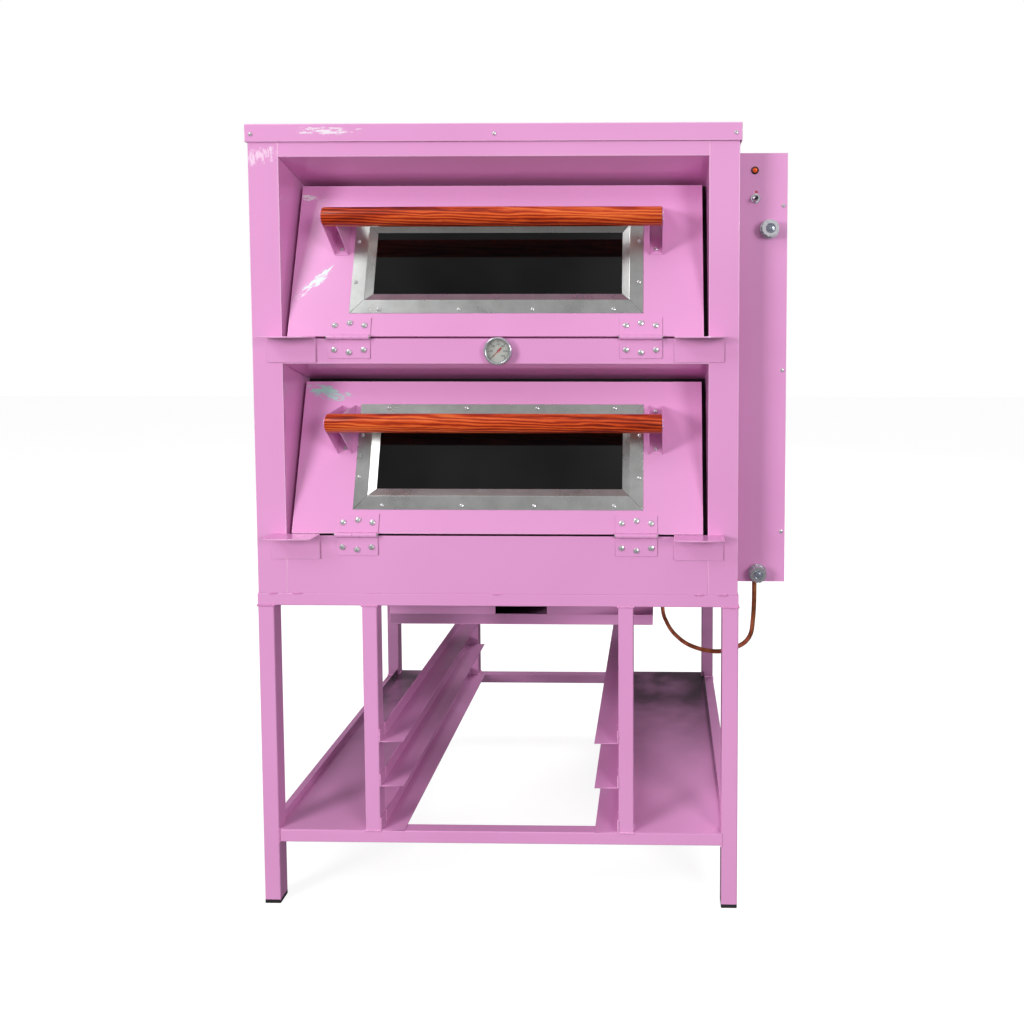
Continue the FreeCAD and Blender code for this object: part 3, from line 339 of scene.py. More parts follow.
@dataclass(frozen=True)
class DrawnCopper:
    """Bent copper or turned brass, with darker tarnish in patches."""

    name: str
    bright: Colour = (240, 150, 104)
    dull: Colour = (190, 108, 66)
    tarnish: Colour = (116, 70, 40)
    roughness: float = 0.26

    def make(self) -> bpy.types.Material:
        """Build the material."""
        coat = Coat(self.name)
        patch = coat.noise(28.0, 5.0, roughness=0.6)
        fine = coat.noise(300.0, 4.0, roughness=0.7)
        tone = coat.ramp(patch, ((0.3, linear(self.tarnish)), (0.46, linear(self.dull)),
                                 (0.66, linear(self.bright))))
        tone = coat.blend(coat.span(fine, 0.5, 0.8, 0.0, 0.4), tone, self.tarnish)
        return coat.finish(Base_Color=tone, Metallic=0.6, Normal=coat.bump(fine, 0.06, 0.0002),
                           Roughness=coat.span(patch, 0.3, 0.7, self.roughness + 0.2, self.roughness))


@dataclass(frozen=True)
class Glass:
    """Heat-resisting or clear glass with a light film of grease."""

    name: str
    tint: Colour = (22, 22, 24)
    transmission: float = 0.75

    def make(self) -> bpy.types.Material:
        """Build the material."""
        coat = Coat(self.name)
        film = coat.noise(9.0, 5.0, roughness=0.62)
        wipe = coat.noise(1.0, 4.0, coat.stretch((9.0, 60.0, 60.0), turn=(0, 0.35, 0)), 0.6)
        smear = coat.math("MULTIPLY", film, wipe)
        greasy = tuple(min(255.0, value + 26) for value in self.tint)
        tone = coat.blend(coat.span(smear, 0.22, 0.6, 0.0, 0.25), self.tint, greasy)
        return coat.finish(Base_Color=tone, Roughness=coat.span(smear, 0.2, 0.5, 0.02, 0.11),
                           Transmission_Weight=self.transmission, IOR=1.5)


@dataclass(frozen=True)
class Moulding:
    """Moulded plastic, rubber, cast iron, scale or wool: one tone broken up by a grain."""

    name: str
    base: Colour
    fleck: Colour
    grain: float = 260.0
    roughness: float = 0.5
    relief: float = 0.12
    depth: float = 0.0004
    metallic: float = 0.0
    glow: float = 0.0

    def make(self) -> bpy.types.Material:
        """Build the material."""
        coat = Coat(self.name)
        grain = coat.noise(self.grain, 4.0, roughness=0.65)
        broad = coat.noise(self.grain / 14, 3.0)
        tone = coat.blend(coat.span(grain, 0.4, 0.75, 0.0, 0.7), self.base, self.fleck)
        tone = coat.blend(coat.span(broad, 0.4, 0.8, 0.0, 0.4), tone, self.fleck)
        return coat.finish(Base_Color=tone, Metallic=self.metallic,
                           Roughness=coat.span(grain, 0.3, 0.7, self.roughness - 0.08, self.roughness + 0.1),
                           Normal=coat.bump(grain, self.relief, self.depth),
                           Emission_Color=linear(self.base), Emission_Strength=self.glow)


class Palette:
    """Every material of the oven, made once and kept by name."""

    def __init__(self) -> None:
        """Build the materials."""
        self.enamel = Enamel().make()
        self.doors: dict[Deck, bpy.types.Material] = {}
        for deck in Deck:
            low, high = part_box(f"{deck.value}_door_skin")
            corner = (low.x + 0.02, low.y + 0.085, high.z - 0.025)
            marks = [Scuff(corner, (0.055, 0.07, 0.010), (238, 242, 240)),
                     Scuff((low.x + 0.048, low.y + 0.03, low.z + 0.118), (0.060, 0.09, 0.012),
                           (236, 248, 252), -0.75, 0.58)]
            if deck is Deck.LOWER:
                marks = [Scuff((low.x + 0.045, low.y + 0.08, high.z - 0.022), (0.060, 0.06, 0.016),
                               (168, 226, 208), 0.2, 0.55)]
            self.doors[deck] = Enamel(f"enamel_{deck.value}_door", scuffs=tuple(marks)).make()
        low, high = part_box("lid")
        self.lid = Enamel("enamel_lid", scuffs=(
            Scuff((low.x + 0.16, low.y, high.z - 0.014), (0.09, 0.05, 0.010), wear=0.61),)).make()
        low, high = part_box("left_side_panel")
        self.jamb = Enamel("enamel_side", scuffs=(
            Scuff((low.x + 0.02, low.y, high.z - 0.06), (0.022, 0.06, 0.06), (250, 214, 240), 1.4),)).make()
        # Painted shade: the shelves and the stand darken towards the back, for the shadow under the oven.
        self.shelf = Enamel("enamel_shelf", rear_shade=0.97).make()
        self.stand = Enamel("enamel_stand", rear_shade=0.45).make()
        # The edge enamel is a paler copy of the enamel on rounded folds: partly wear, partly a painted
        # highlight along the edges.
        self.edge = Enamel("enamel_edge", (252, 190, 234), (255, 208, 242), (232, 160, 212), 0.3).make()
        self.sheet = (self.enamel, self.edge)
        self.bead = Enamel("enamel_weld", (236, 156, 212), (250, 186, 232), (206, 128, 184), 0.3).make()
        self.trim = SheetSteel("bright_steel", (186, 188, 186), (204, 206, 204), 0.24, (30.0, 30.0, 30.0),
                               metallic=0.88).make()
        self.liner = SheetSteel("oven_liner", (84, 80, 74), (128, 124, 116), 0.34, (12.0, 12.0, 160.0),
                                (70, 48, 30), 0.75).make()
        # The front frames are near-black: painted shade for the dark gap round the doors.
        self.recess = SheetSteel("shade_dark_frame", (20, 17, 19), (40, 34, 38), 0.5, (9.0, 200.0, 200.0),
                                 (14, 10, 10), 0.8, 0.4).make()
        self.zinc = SheetSteel("zinc_sheet", (150, 152, 152), (186, 188, 188), 0.32, (40.0, 60.0, 60.0),
                               (118, 114, 106), 0.4).make()
        self.screw = Plating("screw_plate", (240, 240, 242), (196, 194, 200), 0.2, 0.7).make()
        self.chrome = Plating("bright_chrome", (232, 232, 238), (184, 182, 192), 0.09, 0.8).make()
        self.wire = Plating("rack_wire", (190, 188, 184), (110, 104, 96), 0.22).make()
        self.wood = VarnishedWood().make()
        self.copper = DrawnCopper("copper_tube").make()
        self.brass = DrawnCopper("turned_brass", (222, 184, 104), (160, 122, 58), (96, 70, 34)).make()
        self.glass = Glass("oven_glass").make()
        self.lens = Glass("lens_glass", (244, 246, 246), 1.0).make()
        self.scale = Moulding("mill_scale", (46, 43, 41), (74, 64, 56), 70.0, 0.55, 0.2, metallic=0.7).make()
        self.iron = Moulding("cast_iron", (38, 38, 40), (66, 60, 56), 190.0, 0.6, 0.35, metallic=0.6).make()
        self.wool = Moulding("mineral_wool", (196, 184, 138), (150, 138, 98), 320.0, 0.95, 0.8, 0.002).make()
        self.rubber = Moulding("foot_plastic", (34, 32, 34), (58, 54, 56), 420.0, 0.55).make()
        self.black = Moulding("black_plastic", (14, 14, 15), (32, 32, 34), 380.0, 0.36).make()
        self.amber = Moulding("amber_lens", (214, 78, 14), (240, 124, 34), 520.0, 0.18, 0.1,
                              glow=0.35).make()
        self.card = Moulding("dial_card", (238, 237, 230), (226, 224, 214), 300.0, 0.45, 0.05).make()
        self.ink = Moulding("dial_ink", (20, 20, 22), (36, 36, 38), 300.0, 0.5).make()
        self.red = Moulding("red_mark", (196, 44, 48), (222, 78, 76), 300.0, 0.4).make()
        self.cap = Moulding("knob_cap", (132, 138, 152), (168, 172, 184), 420.0, 0.25, metallic=0.6).make()


# ---------------------------------------------------------------- mesh helpers
def new_object(name: str, mesh: bpy.types.Mesh) -> bpy.types.Object:
    """Link a mesh into the scene as an object at the origin."""
    obj = bpy.data.objects.new(name, mesh)
    bpy.context.scene.collection.objects.link(obj)
    return obj


def settle(obj: bpy.types.Object) -> bpy.types.Object:
    """Replace an object's mesh by what its modifiers make, and take the modifiers off."""
    depsgraph = bpy.context.evaluated_depsgraph_get()
    mesh = bpy.data.meshes.new_from_object(obj.evaluated_get(depsgraph))
    obj.modifiers.clear()
    obj.data = mesh
    return obj


def seat(obj: bpy.types.Object, body: Body, slot: str, *nodes: str) -> bpy.types.Object:
    """Make a finished piece ride on a body and stand for some nodes.

    Args:
        obj: the piece, with its place in its mesh.
        body: the body that it rides on.
        slot: the material slot of the record; not used.
        nodes: the nodes that it stands for.

    Returns:
        The piece.
    """
    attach(obj, body.value)
    if nodes:
        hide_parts(*nodes)
    return obj


def smooth(mesh: bpy.types.Mesh, angle: float = 35.0) -> None:
    """Shade a mesh smooth, with creases above an angle in degrees."""
    mesh.shade_smooth()
    mesh.set_sharp_from_angle(angle=math.radians(angle))


def mesh_from(bm: bmesh.types.BMesh, name: str, *materials: bpy.types.Material) -> bpy.types.Mesh:
    """Write a bmesh into a new smooth mesh with its faces outwards."""
    bmesh.ops.recalc_face_normals(bm, faces=bm.faces)
    mesh = bpy.data.meshes.new(name)
    bm.to_mesh(mesh)
    bm.free()
    for material in materials:
        mesh.materials.append(material)
    smooth(mesh)
    return mesh


def lathe(profile: Sequence[tuple[float, float]], segments: int = 48) -> bmesh.types.BMesh:
    """Turn a closed outline about the Z axis.

    Args:
        profile: (radius, height) points from the axis round to the axis.
        segments: how many steps there are in a turn.

    Returns:
        The turned shape.
    """
    bm = bmesh.new()
    verts = [bm.verts.new((radius, 0, height)) for radius, height in profile]
    edges = [bm.edges.new(ends) for ends in zip(verts, verts[1:])]
    bmesh.ops.spin(bm, geom=verts + edges, cent=(0, 0, 0), axis=(0, 0, 1), angle=2 * math.pi,
                   steps=segments, use_merge=True)
    bmesh.ops.remove_doubles(bm, verts=bm.verts, dist=1e-6)
    return bm


def turned(name: str, profile: Sequence[tuple[float, float]], origin: Point, material: bpy.types.Material,
           body: Body, slot: str, *nodes: str, way: Point = (0, -1, 0),
           segments: int = 48) -> bpy.types.Object:
    """Turn a piece in its place and seat it.

    Args:
        name: the piece's name.
        profile: (radius, height) points in metres.
        origin: where the profile's height is 0.
        material: its material.
        body: the body that it rides on.
        slot: the material slot of the record.
        nodes: the nodes that it stands for.
        way: the way its height grows.
        segments: how many steps there are in a turn.

    Returns:
        The piece.
    """
    bm = lathe(profile, segments)
    aim = Vector(way).to_track_quat("Z", "Y").to_matrix().to_4x4()
    bm.transform(Matrix.Translation(Vector(origin)) @ aim)
    return seat(new_object(name, mesh_from(bm, name, material)), body, slot, *nodes)


def face_spot(node: str, front: Optional[float] = None) -> Vector:
    """Return the middle of a node's outline from the front, on its front face or at another depth."""
    low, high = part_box(node)
    return Vector(((low.x + high.x) / 2, low.y if front is None else front, (low.z + high.z) / 2))


def studs(name: str, points: Sequence[Point], axes: Sequence[Point],
          radii: Sequence[float]) -> bpy.types.Mesh:
    """Return loose points that carry the axis and the radius of the fastener on each."""
    mesh = bpy.data.meshes.new(name)
    mesh.from_pydata(points, [], [])
    mesh.attributes.new("axis", "FLOAT_VECTOR", "POINT").data.foreach_set(
        "vector", [value for axis in axes for value in axis])
    mesh.attributes.new("radius", "FLOAT", "POINT").data.foreach_set("value", radii)
    return mesh


def off_line(point: Vector, middle: Vector, axis: Vector) -> float:
    """Return how far a point is from the line through a middle along an axis."""
    gap = point - middle
    return (gap - axis * gap.dot(axis)).length


def rectangle(start: Sequence[float], end: Sequence[float]) -> list[tuple[Vector, Vector]]:
    """Return the four sides of a flat rectangle between two opposite corners."""
    flat = min(range(3), key=lambda axis: abs(start[axis] - end[axis]))
    first, second = [axis for axis in range(3) if axis != flat]
    corners = [Vector(start) for _ in range(4)]
    for place in (1, 2):
        corners[place][first] = end[first]
        corners[place + 1][second] = end[second]
    return list(zip(corners, corners[1:] + corners[:1]))


def islands(mesh: bpy.types.Mesh) -> list[list[Vector]]:
    """Return the points of each separate shell of a mesh."""
    bm = bmesh.new()
    bm.from_mesh(mesh)
    bmesh.ops.remove_doubles(bm, verts=bm.verts, dist=1e-6)
    seen: set[int] = set()
    shells = []
    for start in bm.verts:
        if start.index in seen:
            continue
        seen.add(start.index)
        queue = [start]
        points = []
        while queue:
            vert = queue.pop()
            points.append(vert.co.copy())
            for edge in vert.link_edges:
                other = edge.other_vert(vert)
                if other.index not in seen:
                    seen.add(other.index)
                    queue.append(other)
        shells.append(points)
    bm.free()
    return shells


def softened(node: str, fold: float, *materials: bpy.types.Material, steps: int = 3,
             body: Body = Body.OVEN, slot: str = "body_paint") -> bpy.types.Object:
    """Copy a node with rounded folds and finely broken sheet edges.

    Args:
        node: the node to copy and stand for.
        fold: the radius of a fold between two wide faces, in metres.
        materials: the main material and the one on rounded edges.
        steps: how many faces round a fold.
        body: the body that it rides on.
        slot: the material slot of the record.

    Returns:
        The piece.
    """
    bm = bmesh.new()
    bm.from_mesh(frame["nodes"][node].data)
    bmesh.ops.remove_doubles(bm, verts=bm.verts, dist=1e-6)
    bmesh.ops.dissolve_limit(bm, angle_limit=math.radians(0.5), verts=bm.verts, edges=bm.edges)
    weight = bm.edges.layers.float.get("bevel_weight_edge") or bm.edges.layers.float.new("bevel_weight_edge")
    width = {face: 2 * face.calc_area() / face.calc_perimeter() for face in bm.faces}
    for edge in bm.edges:
        if len(edge.link_faces) != 2 or edge.calc_length() < 0.0035:
            continue
        if edge.calc_face_angle(0.0) > math.radians(22):
            narrow = min(width[face] for face in edge.link_faces)
            edge[weight] = 1.0 if narrow > 4 * fold else min(1.0, 0.24 * narrow / fold)
    for edge in bm.edges:
        edge.smooth = edge[weight] > 0 or edge.calc_face_angle(0.0) < math.radians(22)
    mesh = bpy.data.meshes.new(node)
    bm.to_mesh(mesh)
    bm.free()
    for material in materials:
        mesh.materials.append(material)
    mesh.shade_smooth()
    obj = new_object(f"{node}_sheet", mesh)
    bevel = obj.modifiers.new("folds", "BEVEL")
    bevel.limit_method = "WEIGHT"
    bevel.offset_type = "OFFSET"
    bevel.width = fold
    bevel.segments = steps
    bevel.use_clamp_overlap = False
    # Rounded edge faces take the last material; with the paler edge enamel that is a painted highlight with
    # some wear.
    bevel.material = len(materials) - 1
    flatten = obj.modifiers.new("flat_faces", "WEIGHTED_NORMAL")
    flatten.mode = "FACE_AREA"
    flatten.weight = 100
    flatten.keep_sharp = True
    return seat(settle(obj), body, slot, node)


def dress(material: bpy.types.Material, *nodes: str) -> None:
    """Give nodes that keep their own mesh a material."""
    for node in nodes:
        slots = frame["nodes"][node].data.materials
        if not slots:
            slots.append(material)
        for index in range(len(slots)):
            slots[index] = material


# ---------------------------------------------------------------- geometry node trees
class Tree(Nodes):
    """A geometry node tree with named inputs that ends in realised, painted geometry."""

    def __init__(self, name: str) -> None:
        """Start a tree of a name with its geometry sockets."""
        super().__init__(bpy.data.node_groups.new(name, "GeometryNodeTree"))
        self.sockets: dict[str, bpy.types.NodeTreeInterfaceSocket] = {}
        for way in ("INPUT", "OUTPUT"):
            self.tree.interface.new_socket("Geometry", in_out=way, socket_type="NodeSocketGeometry")
        self.start = self.add("NodeGroupInput")
        self.end = self.add("NodeGroupOutput")

    def take(self, name: str, kind: str = "Float") -> Socket:
        """Add a named input of a kind and return its socket inside the tree."""
        self.sockets[name] = self.tree.interface.new_socket(name, in_out="INPUT",
                                                            socket_type=f"NodeSocket{kind}")
        return self.start.outputs[name]

    def finish(self, points: Socket, piece: Socket, **words: object) -> "Tree":
        """Stand a piece on each point, realise and paint the result, and pass it out.

        Args:
            points: the points.
            piece: what stands on them.
            words: the rotation and scale on each point.

        Returns:
            The tree.
        """
        placed = self.add("GeometryNodeInstanceOnPoints", Points=points, Instance=piece, **words)
        real = self.add("GeometryNodeRealizeInstances", placed.outputs[0])
        paint = self.take("Finish", "Material")
        done = self.add("GeometryNodeSetMaterial", Geometry=real.outputs[0], Material=paint)
        self.feed(done.outputs[0], self.end.inputs["Geometry"])
        return self

    def run(self, name: str, mesh: bpy.types.Mesh, **values: object) -> bpy.types.Object:
        """Run the tree on a mesh and return a plain object.

        Args:
            name: the new piece's name.
            mesh: what the tree starts from.
            values: the named inputs.

        Returns:
            The piece, without modifiers.
        """
        obj = new_object(name, mesh)
        modifier = obj.modifiers.new("tree", "NODES")
        modifier.node_group = self.tree
        for key, value in values.items():
            modifier[self.sockets[key].identifier] = value
        settle(obj)
        obj.data.name = name
        smooth(obj.data)
        return obj


def bead_tree() -> Tree:
    """Return the tree that lays overlapping weld ripples along loose edges."""
    tree = Tree("weld_beads")
    pitch, radius = tree.take("Pitch"), tree.take("Radius")
    curve = tree.add("GeometryNodeMeshToCurve", tree.start.outputs["Geometry"])
    points = tree.add("GeometryNodeResampleCurve", mode="LENGTH", Curve=curve.outputs[0], Length=pitch)
    blob = tree.add("GeometryNodeMeshUVSphere", Segments=8, Rings=5, Radius=radius)
    size = tree.add("FunctionNodeRandomValue", None, None, 0.72, 1.18, data_type="FLOAT", Seed=7)
    return tree.finish(points.outputs[0], blob.outputs[0], Scale=size.outputs[1])


def fastener_tree() -> Tree:
    """Return the tree that stands a head on each point, along its axis and to its radius."""
    tree = Tree("fasteners")
    info = tree.add("GeometryNodeObjectInfo", Object=tree.take("Head", "Object"))
    axis = tree.add("GeometryNodeInputNamedAttribute", "axis", data_type="FLOAT_VECTOR")
    radius = tree.add("GeometryNodeInputNamedAttribute", "radius", data_type="FLOAT")
    aim = tree.add("FunctionNodeAlignRotationToVector", axis="Z", Vector=axis.outputs["Attribute"])
    return tree.finish(tree.start.outputs["Geometry"], info.outputs["Geometry"], Rotation=aim.outputs[0],
                       Scale=radius.outputs["Attribute"])


def dial_tree() -> Tree:
    """Return the tree that repeats a mark round a dial."""
    tree = Tree("dial_marks")
    count = tree.take("Count", "Int")
    radius, first, step = (tree.take(name) for name in ("Radius", "First", "Step"))
    points = tree.add("GeometryNodeMeshLine", Count=count)
    index = tree.add("GeometryNodeInputIndex")
    turn = tree.add("ShaderNodeMath", index.outputs[0], step, first, operation="MULTIPLY_ADD")
    spin = tree.add("ShaderNodeCombineXYZ", Y=turn.outputs[0]).outputs[0]
    reach = tree.add("ShaderNodeCombineXYZ", Z=radius)
    away = tree.add("ShaderNodeVectorRotate", rotation_type="EULER_XYZ", Vector=reach.outputs[0],
                    Rotation=spin)
    spread = tree.add("GeometryNodeSetPosition", points.outputs[0], Position=away.outputs[0])
    return tree.finish(spread.outputs[0], tree.start.outputs["Geometry"], Rotation=spin)


# ---------------------------------------------------------------- sub-assemblies
@dataclass
class Fasteners:
    """Round-head screws that stand where the frame's screws are."""

    palette: Palette
    rise: float = 0.62
    recess: float = 0.16
    tree: Tree = field(default_factory=fastener_tree)

    def head(self) -> bpy.types.Object:
        """Return a unit pan head with a cross recess, on the XY plane."""
        dome = [(0.0, self.rise)]
        for index in range(1, 4):
            angle = math.radians(30 * index)
            dome.append((math.sin(angle), 0.14 + (self.rise - 0.14) * math.cos(angle)))
        bm = lathe(dome + [(1.0, -0.1), (0.0, -0.1)], 12)
        obj = new_object("screw_head", mesh_from(bm, "screw_head", self.palette.screw))
        cross = bmesh.new()
        for x, y in ((0.5, self.recess / 2), (self.recess / 2, 0.5)):
            bmesh.ops.create_cube(cross, size=1.0, matrix=Matrix.Translation((0, 0, self.rise))
                                  @ Matrix.Diagonal((2 * x, 2 * y, 0.52, 1)))
        cutter = new_object("screw_cross", mesh_from(cross, "screw_cross"))
        recess = obj.modifiers.new("recess", "BOOLEAN")
        recess.object = cutter
        recess.solver = "EXACT"
        recess.use_self = True
        settle(obj)
        smooth(obj.data)
        bpy.data.objects.remove(cutter)
        return obj

    def build(self, node: str, body: Body, normal: Vector, head: bpy.types.Object) -> bpy.types.Object:
        """Replace a node of screws by detailed ones.

        Args:
            node: the node that holds the screws.
            body: the body that they ride on.
            normal: the way out of the face that most of them are in.
            head: the unit head.

        Returns:
            The piece.
        """
        points, axes, radii = [], [], []
        for shell in islands(frame["nodes"][node].data):
            middle = sum(shell, Vector()) / len(shell)
            reach, axis = min(((max(off_line(point, middle, axis) for point in shell), axis)
                               for axis in (Vector((1, 0, 0)), Vector((0, -1, 0)), normal)),
                              key=lambda choice: choice[0])
            along = [(point - middle).dot(axis) for point in shell]
            wide = [height for height, point in zip(along, shell)
                    if off_line(point, middle, axis) > 0.9 * reach]
            rim = sum(wide) / len(wide)
            if max(along) - rim > rim - min(along):
                axis, rim = -axis, -rim
            points.append(middle + axis * rim)
            axes.append(axis)
            radii.append(reach)
        piece = self.tree.run(f"{node}_heads", studs(node, points, axes, radii), Head=head,
                              Finish=self.palette.screw)
        return seat(piece, body, "screw_steel", node)

    def dress(self, normals: dict[Deck, Vector]) -> None:
        """Build every set of screws."""
        head = self.head()
        self.build("case_screws", Body.OVEN, Vector((0, -1, 0)), head)
        for deck in Deck:
            self.build(f"{deck.value}_door_screws", deck.door, normals[deck], head)
        bpy.data.objects.remove(head)


@dataclass
class Stand:
    """Welded tube stand with tray rails, side shelves and foot caps."""

    palette: Palette
    leg: float = 0.032
    rail: float = 0.025
    post: float = 0.030
    fold: float = 0.0022
    bead_radius: float = 0.0021
    bead_pitch: float = 0.0021
    tack: float = 0.014
    bite: float = 0.001

    def welds(self) -> list[tuple[Vector, Vector]]:
        """Return the start and end of every weld run on the stand."""
        low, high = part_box("stand_uprights")
        rails_low, rails_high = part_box("stand_rails")
        tray_low, tray_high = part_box("tray_rails")
        middle = (low.x + high.x) / 2
        rail_foot, rail_top = rails_low.z, rails_low.z + self.rail
        pitch = (tray_high.z - tray_low.z - self.rail) / 2
        runs: list[tuple[Vector, Vector]] = []
        for side in (-1, 1):
            outer = middle + side * (high.x - middle)
            inner = outer - side * self.leg
            for y, across, along in ((low.y, low.y, low.y + self.leg),
                                     (high.y - self.leg, high.y - self.rail, high.y - self.leg)):
                runs += rectangle((outer, y, high.z), (inner, y + self.leg, high.z))
                runs += rectangle((inner, across, rail_foot), (inner, across + self.rail, rail_top))
                runs += rectangle((outer, along, rail_foot), (outer - side * self.rail, along, rail_top))
            tray = middle + side * (tray_high.x - middle)
            for z in (rail_top, high.z):
                runs += rectangle((tray, low.y, z), (tray + side * self.post, low.y + self.post, z))
                runs += rectangle((tray - side * self.post, high.y - self.post, z), (tray, high.y, z))
            x = tray - side * self.bite
            for level in range(3):
                z = tray_low.z + level * pitch
                for near, far in ((low.y, low.y + self.post), (high.y - self.post, high.y - self.post)):
                    for y in (near, far):
                        runs.append((Vector((x, y, z + 2 * self.bite)), Vector((x, y, z + self.rail))))
        left, right = (corner.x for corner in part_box("bottom_fascia"))
        for x in (left - 0.03, left + 0.018, middle, right - 0.018, right + 0.03):
            runs.append(tuple(Vector((x + reach, low.y, rails_high.z))
                              for reach in (-self.tack / 2, self.tack / 2)))
        return runs

    def build(self) -> None:
        """Build the tubes, rails, shelves and weld beads."""
        for node, fold, paint in (("stand_uprights", self.fold, self.palette.stand),
                                  ("stand_rails", self.fold, self.palette.stand),
                                  ("tray_rails", 0.0018, self.palette.stand),
                                  ("side_shelves", 0.0015, self.palette.shelf)):
            softened(node, fold, paint)
        softened("foot_caps", 0.0015, self.palette.rubber, slot="black_plastic")
        runs = self.welds()
        mesh = bpy.data.meshes.new("stand_welds")
        edges = [(2 * index, 2 * index + 1) for index in range(len(runs))]
        mesh.from_pydata([point for run in runs for point in run], edges, [])
        beads = bead_tree().run("stand_welds", mesh, Pitch=self.bead_pitch, Radius=self.bead_radius,
                                Finish=self.palette.bead)
        seat(beads, Body.OVEN, "body_paint")


@dataclass
class Casing:
    """Enamelled outer sheets, burner box, flue and door rests."""

    palette: Palette
    fold: float = 0.0016
    rivet_pitch: float = 0.105
    rivet_radius: float = 0.0032
    rivet_inset: float = 0.012
    lip: float = 0.03

    def build(self) -> None:
        """Build the sheets with rounded folds."""
        special = {"left_side_panel": self.palette.jamb, "lid": self.palette.lid}
        for node in ("right_side_panel", "header_panel", "middle_fascia", "bottom_fascia", "back_panel",
                     "door_rests", "burner_box", "left_side_panel", "lid"):
            paint = special.get(node, self.palette.enamel)
            softened(node, self.fold, paint, self.palette.edge)
        for node in ("flue_collar", "flue_flange"):
            softened(node, 0.0006, self.palette.trim, steps=2, slot="stainless_sheet")
        self.rivets()

    def rivets(self) -> None:
        """Set a row of dome rivets round the back panel."""
        low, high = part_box("back_panel")
        inset = self.rivet_inset
        width, height = high.x - low.x - 2 * inset, high.z - low.z - 2 * inset - self.lip
        across = int((high.x - low.x) / self.rivet_pitch)
        up = int((high.z - low.z) / self.rivet_pitch)
        points = []
        for index in range(across + 1):
            x = low.x + inset + width * index / across
            points += [(x, high.y, low.z + inset), (x, high.y, high.z - self.lip - inset)]
        for index in range(1, up):
            z = low.z + inset + height * index / up
            points += [(low.x + inset, high.y, z), (high.x - inset, high.y, z)]
        mesh = studs("back_rivets", points, [(0.0, 1.0, 0.0)] * len(points),
                     [self.rivet_radius] * len(points))
        dome = lathe([(0, 0.5), (0.6, 0.4), (1.0, 0.0), (0, -0.1)], 10)
        head = new_object("rivet_head", mesh_from(dome, "rivet_head", self.palette.screw))
        piece = fastener_tree().run("back_rivets", mesh, Head=head, Finish=self.palette.screw)
        bpy.data.objects.remove(head)
        seat(piece, Body.OVEN, "screw_steel")

    def dress(self) -> None:
        """Finish the inner sheets that keep their own mesh."""
        for material, nodes in ((self.palette.recess, ("front_frames",)),
                                (self.palette.liner, ("upper_chamber_liner", "lower_chamber_liner")),
                                (self.palette.zinc, ("floor_pan", "flue_neck")),
                                (self.palette.scale, ("hearth_plates",)),
                                (self.palette.wire, ("wire_racks",)),
                                (self.palette.wool, ("insulation_blocks",)),
                                (self.palette.iron, ("burner_pipe",))):
            dress(material, *nodes)


@dataclass
class Door:
    """A leaning glazed door with its bar handle, trim and hinge leaves."""

    palette: Palette
    deck: Deck
    fold: float = 0.0016
    end_round: float = 0.003
    belly: float = 0.0006

    def node(self, name: str) -> str:
        """Return the full name of one of this door's nodes."""
        return f"{self.deck.value}_{name}"

    def normal(self) -> Vector:
        """Return the way out of the door's face, from the outer pane's largest face."""
        faces = frame["nodes"][self.node("window_glass")].data.polygons
        out = max((f for f in faces if f.normal.y < -0.5), key=lambda f: f.area)
        return out.normal.copy()

    def build(self) -> None:
        """Build the door's sheets, trim and handle."""
        palette, body = self.palette, self.deck.door
        softened(self.node("door_skin"), self.fold, palette.doors[self.deck], palette.edge, body=body)
        dress(palette.enamel, self.node("handle_brackets"))
        softened(self.node("hinge_leaves"), 0.0007, *palette.sheet, steps=2, body=body)
        softened(self.node("window_trim"), 0.0010, palette.trim, body=body, slot="stainless_sheet")
        softened(self.node("door_inner_panel"), 0.0010, palette.zinc, steps=2, body=body, slot="zinc_sheet")
        self.bar()

    def bar(self) -> None:
        """Turn the wooden bar, a little fuller at mid length, with eased ends."""
        low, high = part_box(self.node("handle_bar"))
        radius = (high.z - low.z) / 2
        length = high.x - low.x
        profile = [(0.0, 0.0)]
        for index in range(5):
            angle = math.pi / 2 * index / 4
            profile.append((radius - self.belly - self.end_round * (1 - math.sin(angle)),
                            self.end_round * (1 - math.cos(angle))))
        for index in range(1, 12):
            share = index / 12
            profile.append((radius - self.belly * (1 - math.sin(math.pi * share)), length * share))
        mirrored = [(r, length - z) for r, z in reversed(profile[:6])]
        origin = Vector((low.x, (low.y + high.y) / 2, (low.z + high.z) / 2))
        turned(self.node("wooden_bar"), profile + mirrored, origin, self.palette.wood, self.deck.door,
               "varnished_wood", self.node("handle_bar"), way=(1, 0, 0), segments=64)

    def dress(self) -> None:
        """Finish the pieces that keep their own mesh."""
        dress(self.palette.glass, self.node("window_glass"))
        dress(self.palette.wool, self.node("door_insulation"))


@dataclass
class Hinges:
    """The fixed hinge leaves and their pins."""

    palette: Palette

    def build(self) -> None:
        """Build the leaves and finish the pins."""
        softened("fixed_hinge_leaves", 0.0007, *self.palette.sheet, steps=2)
        dress(self.palette.screw, "hinge_pins")


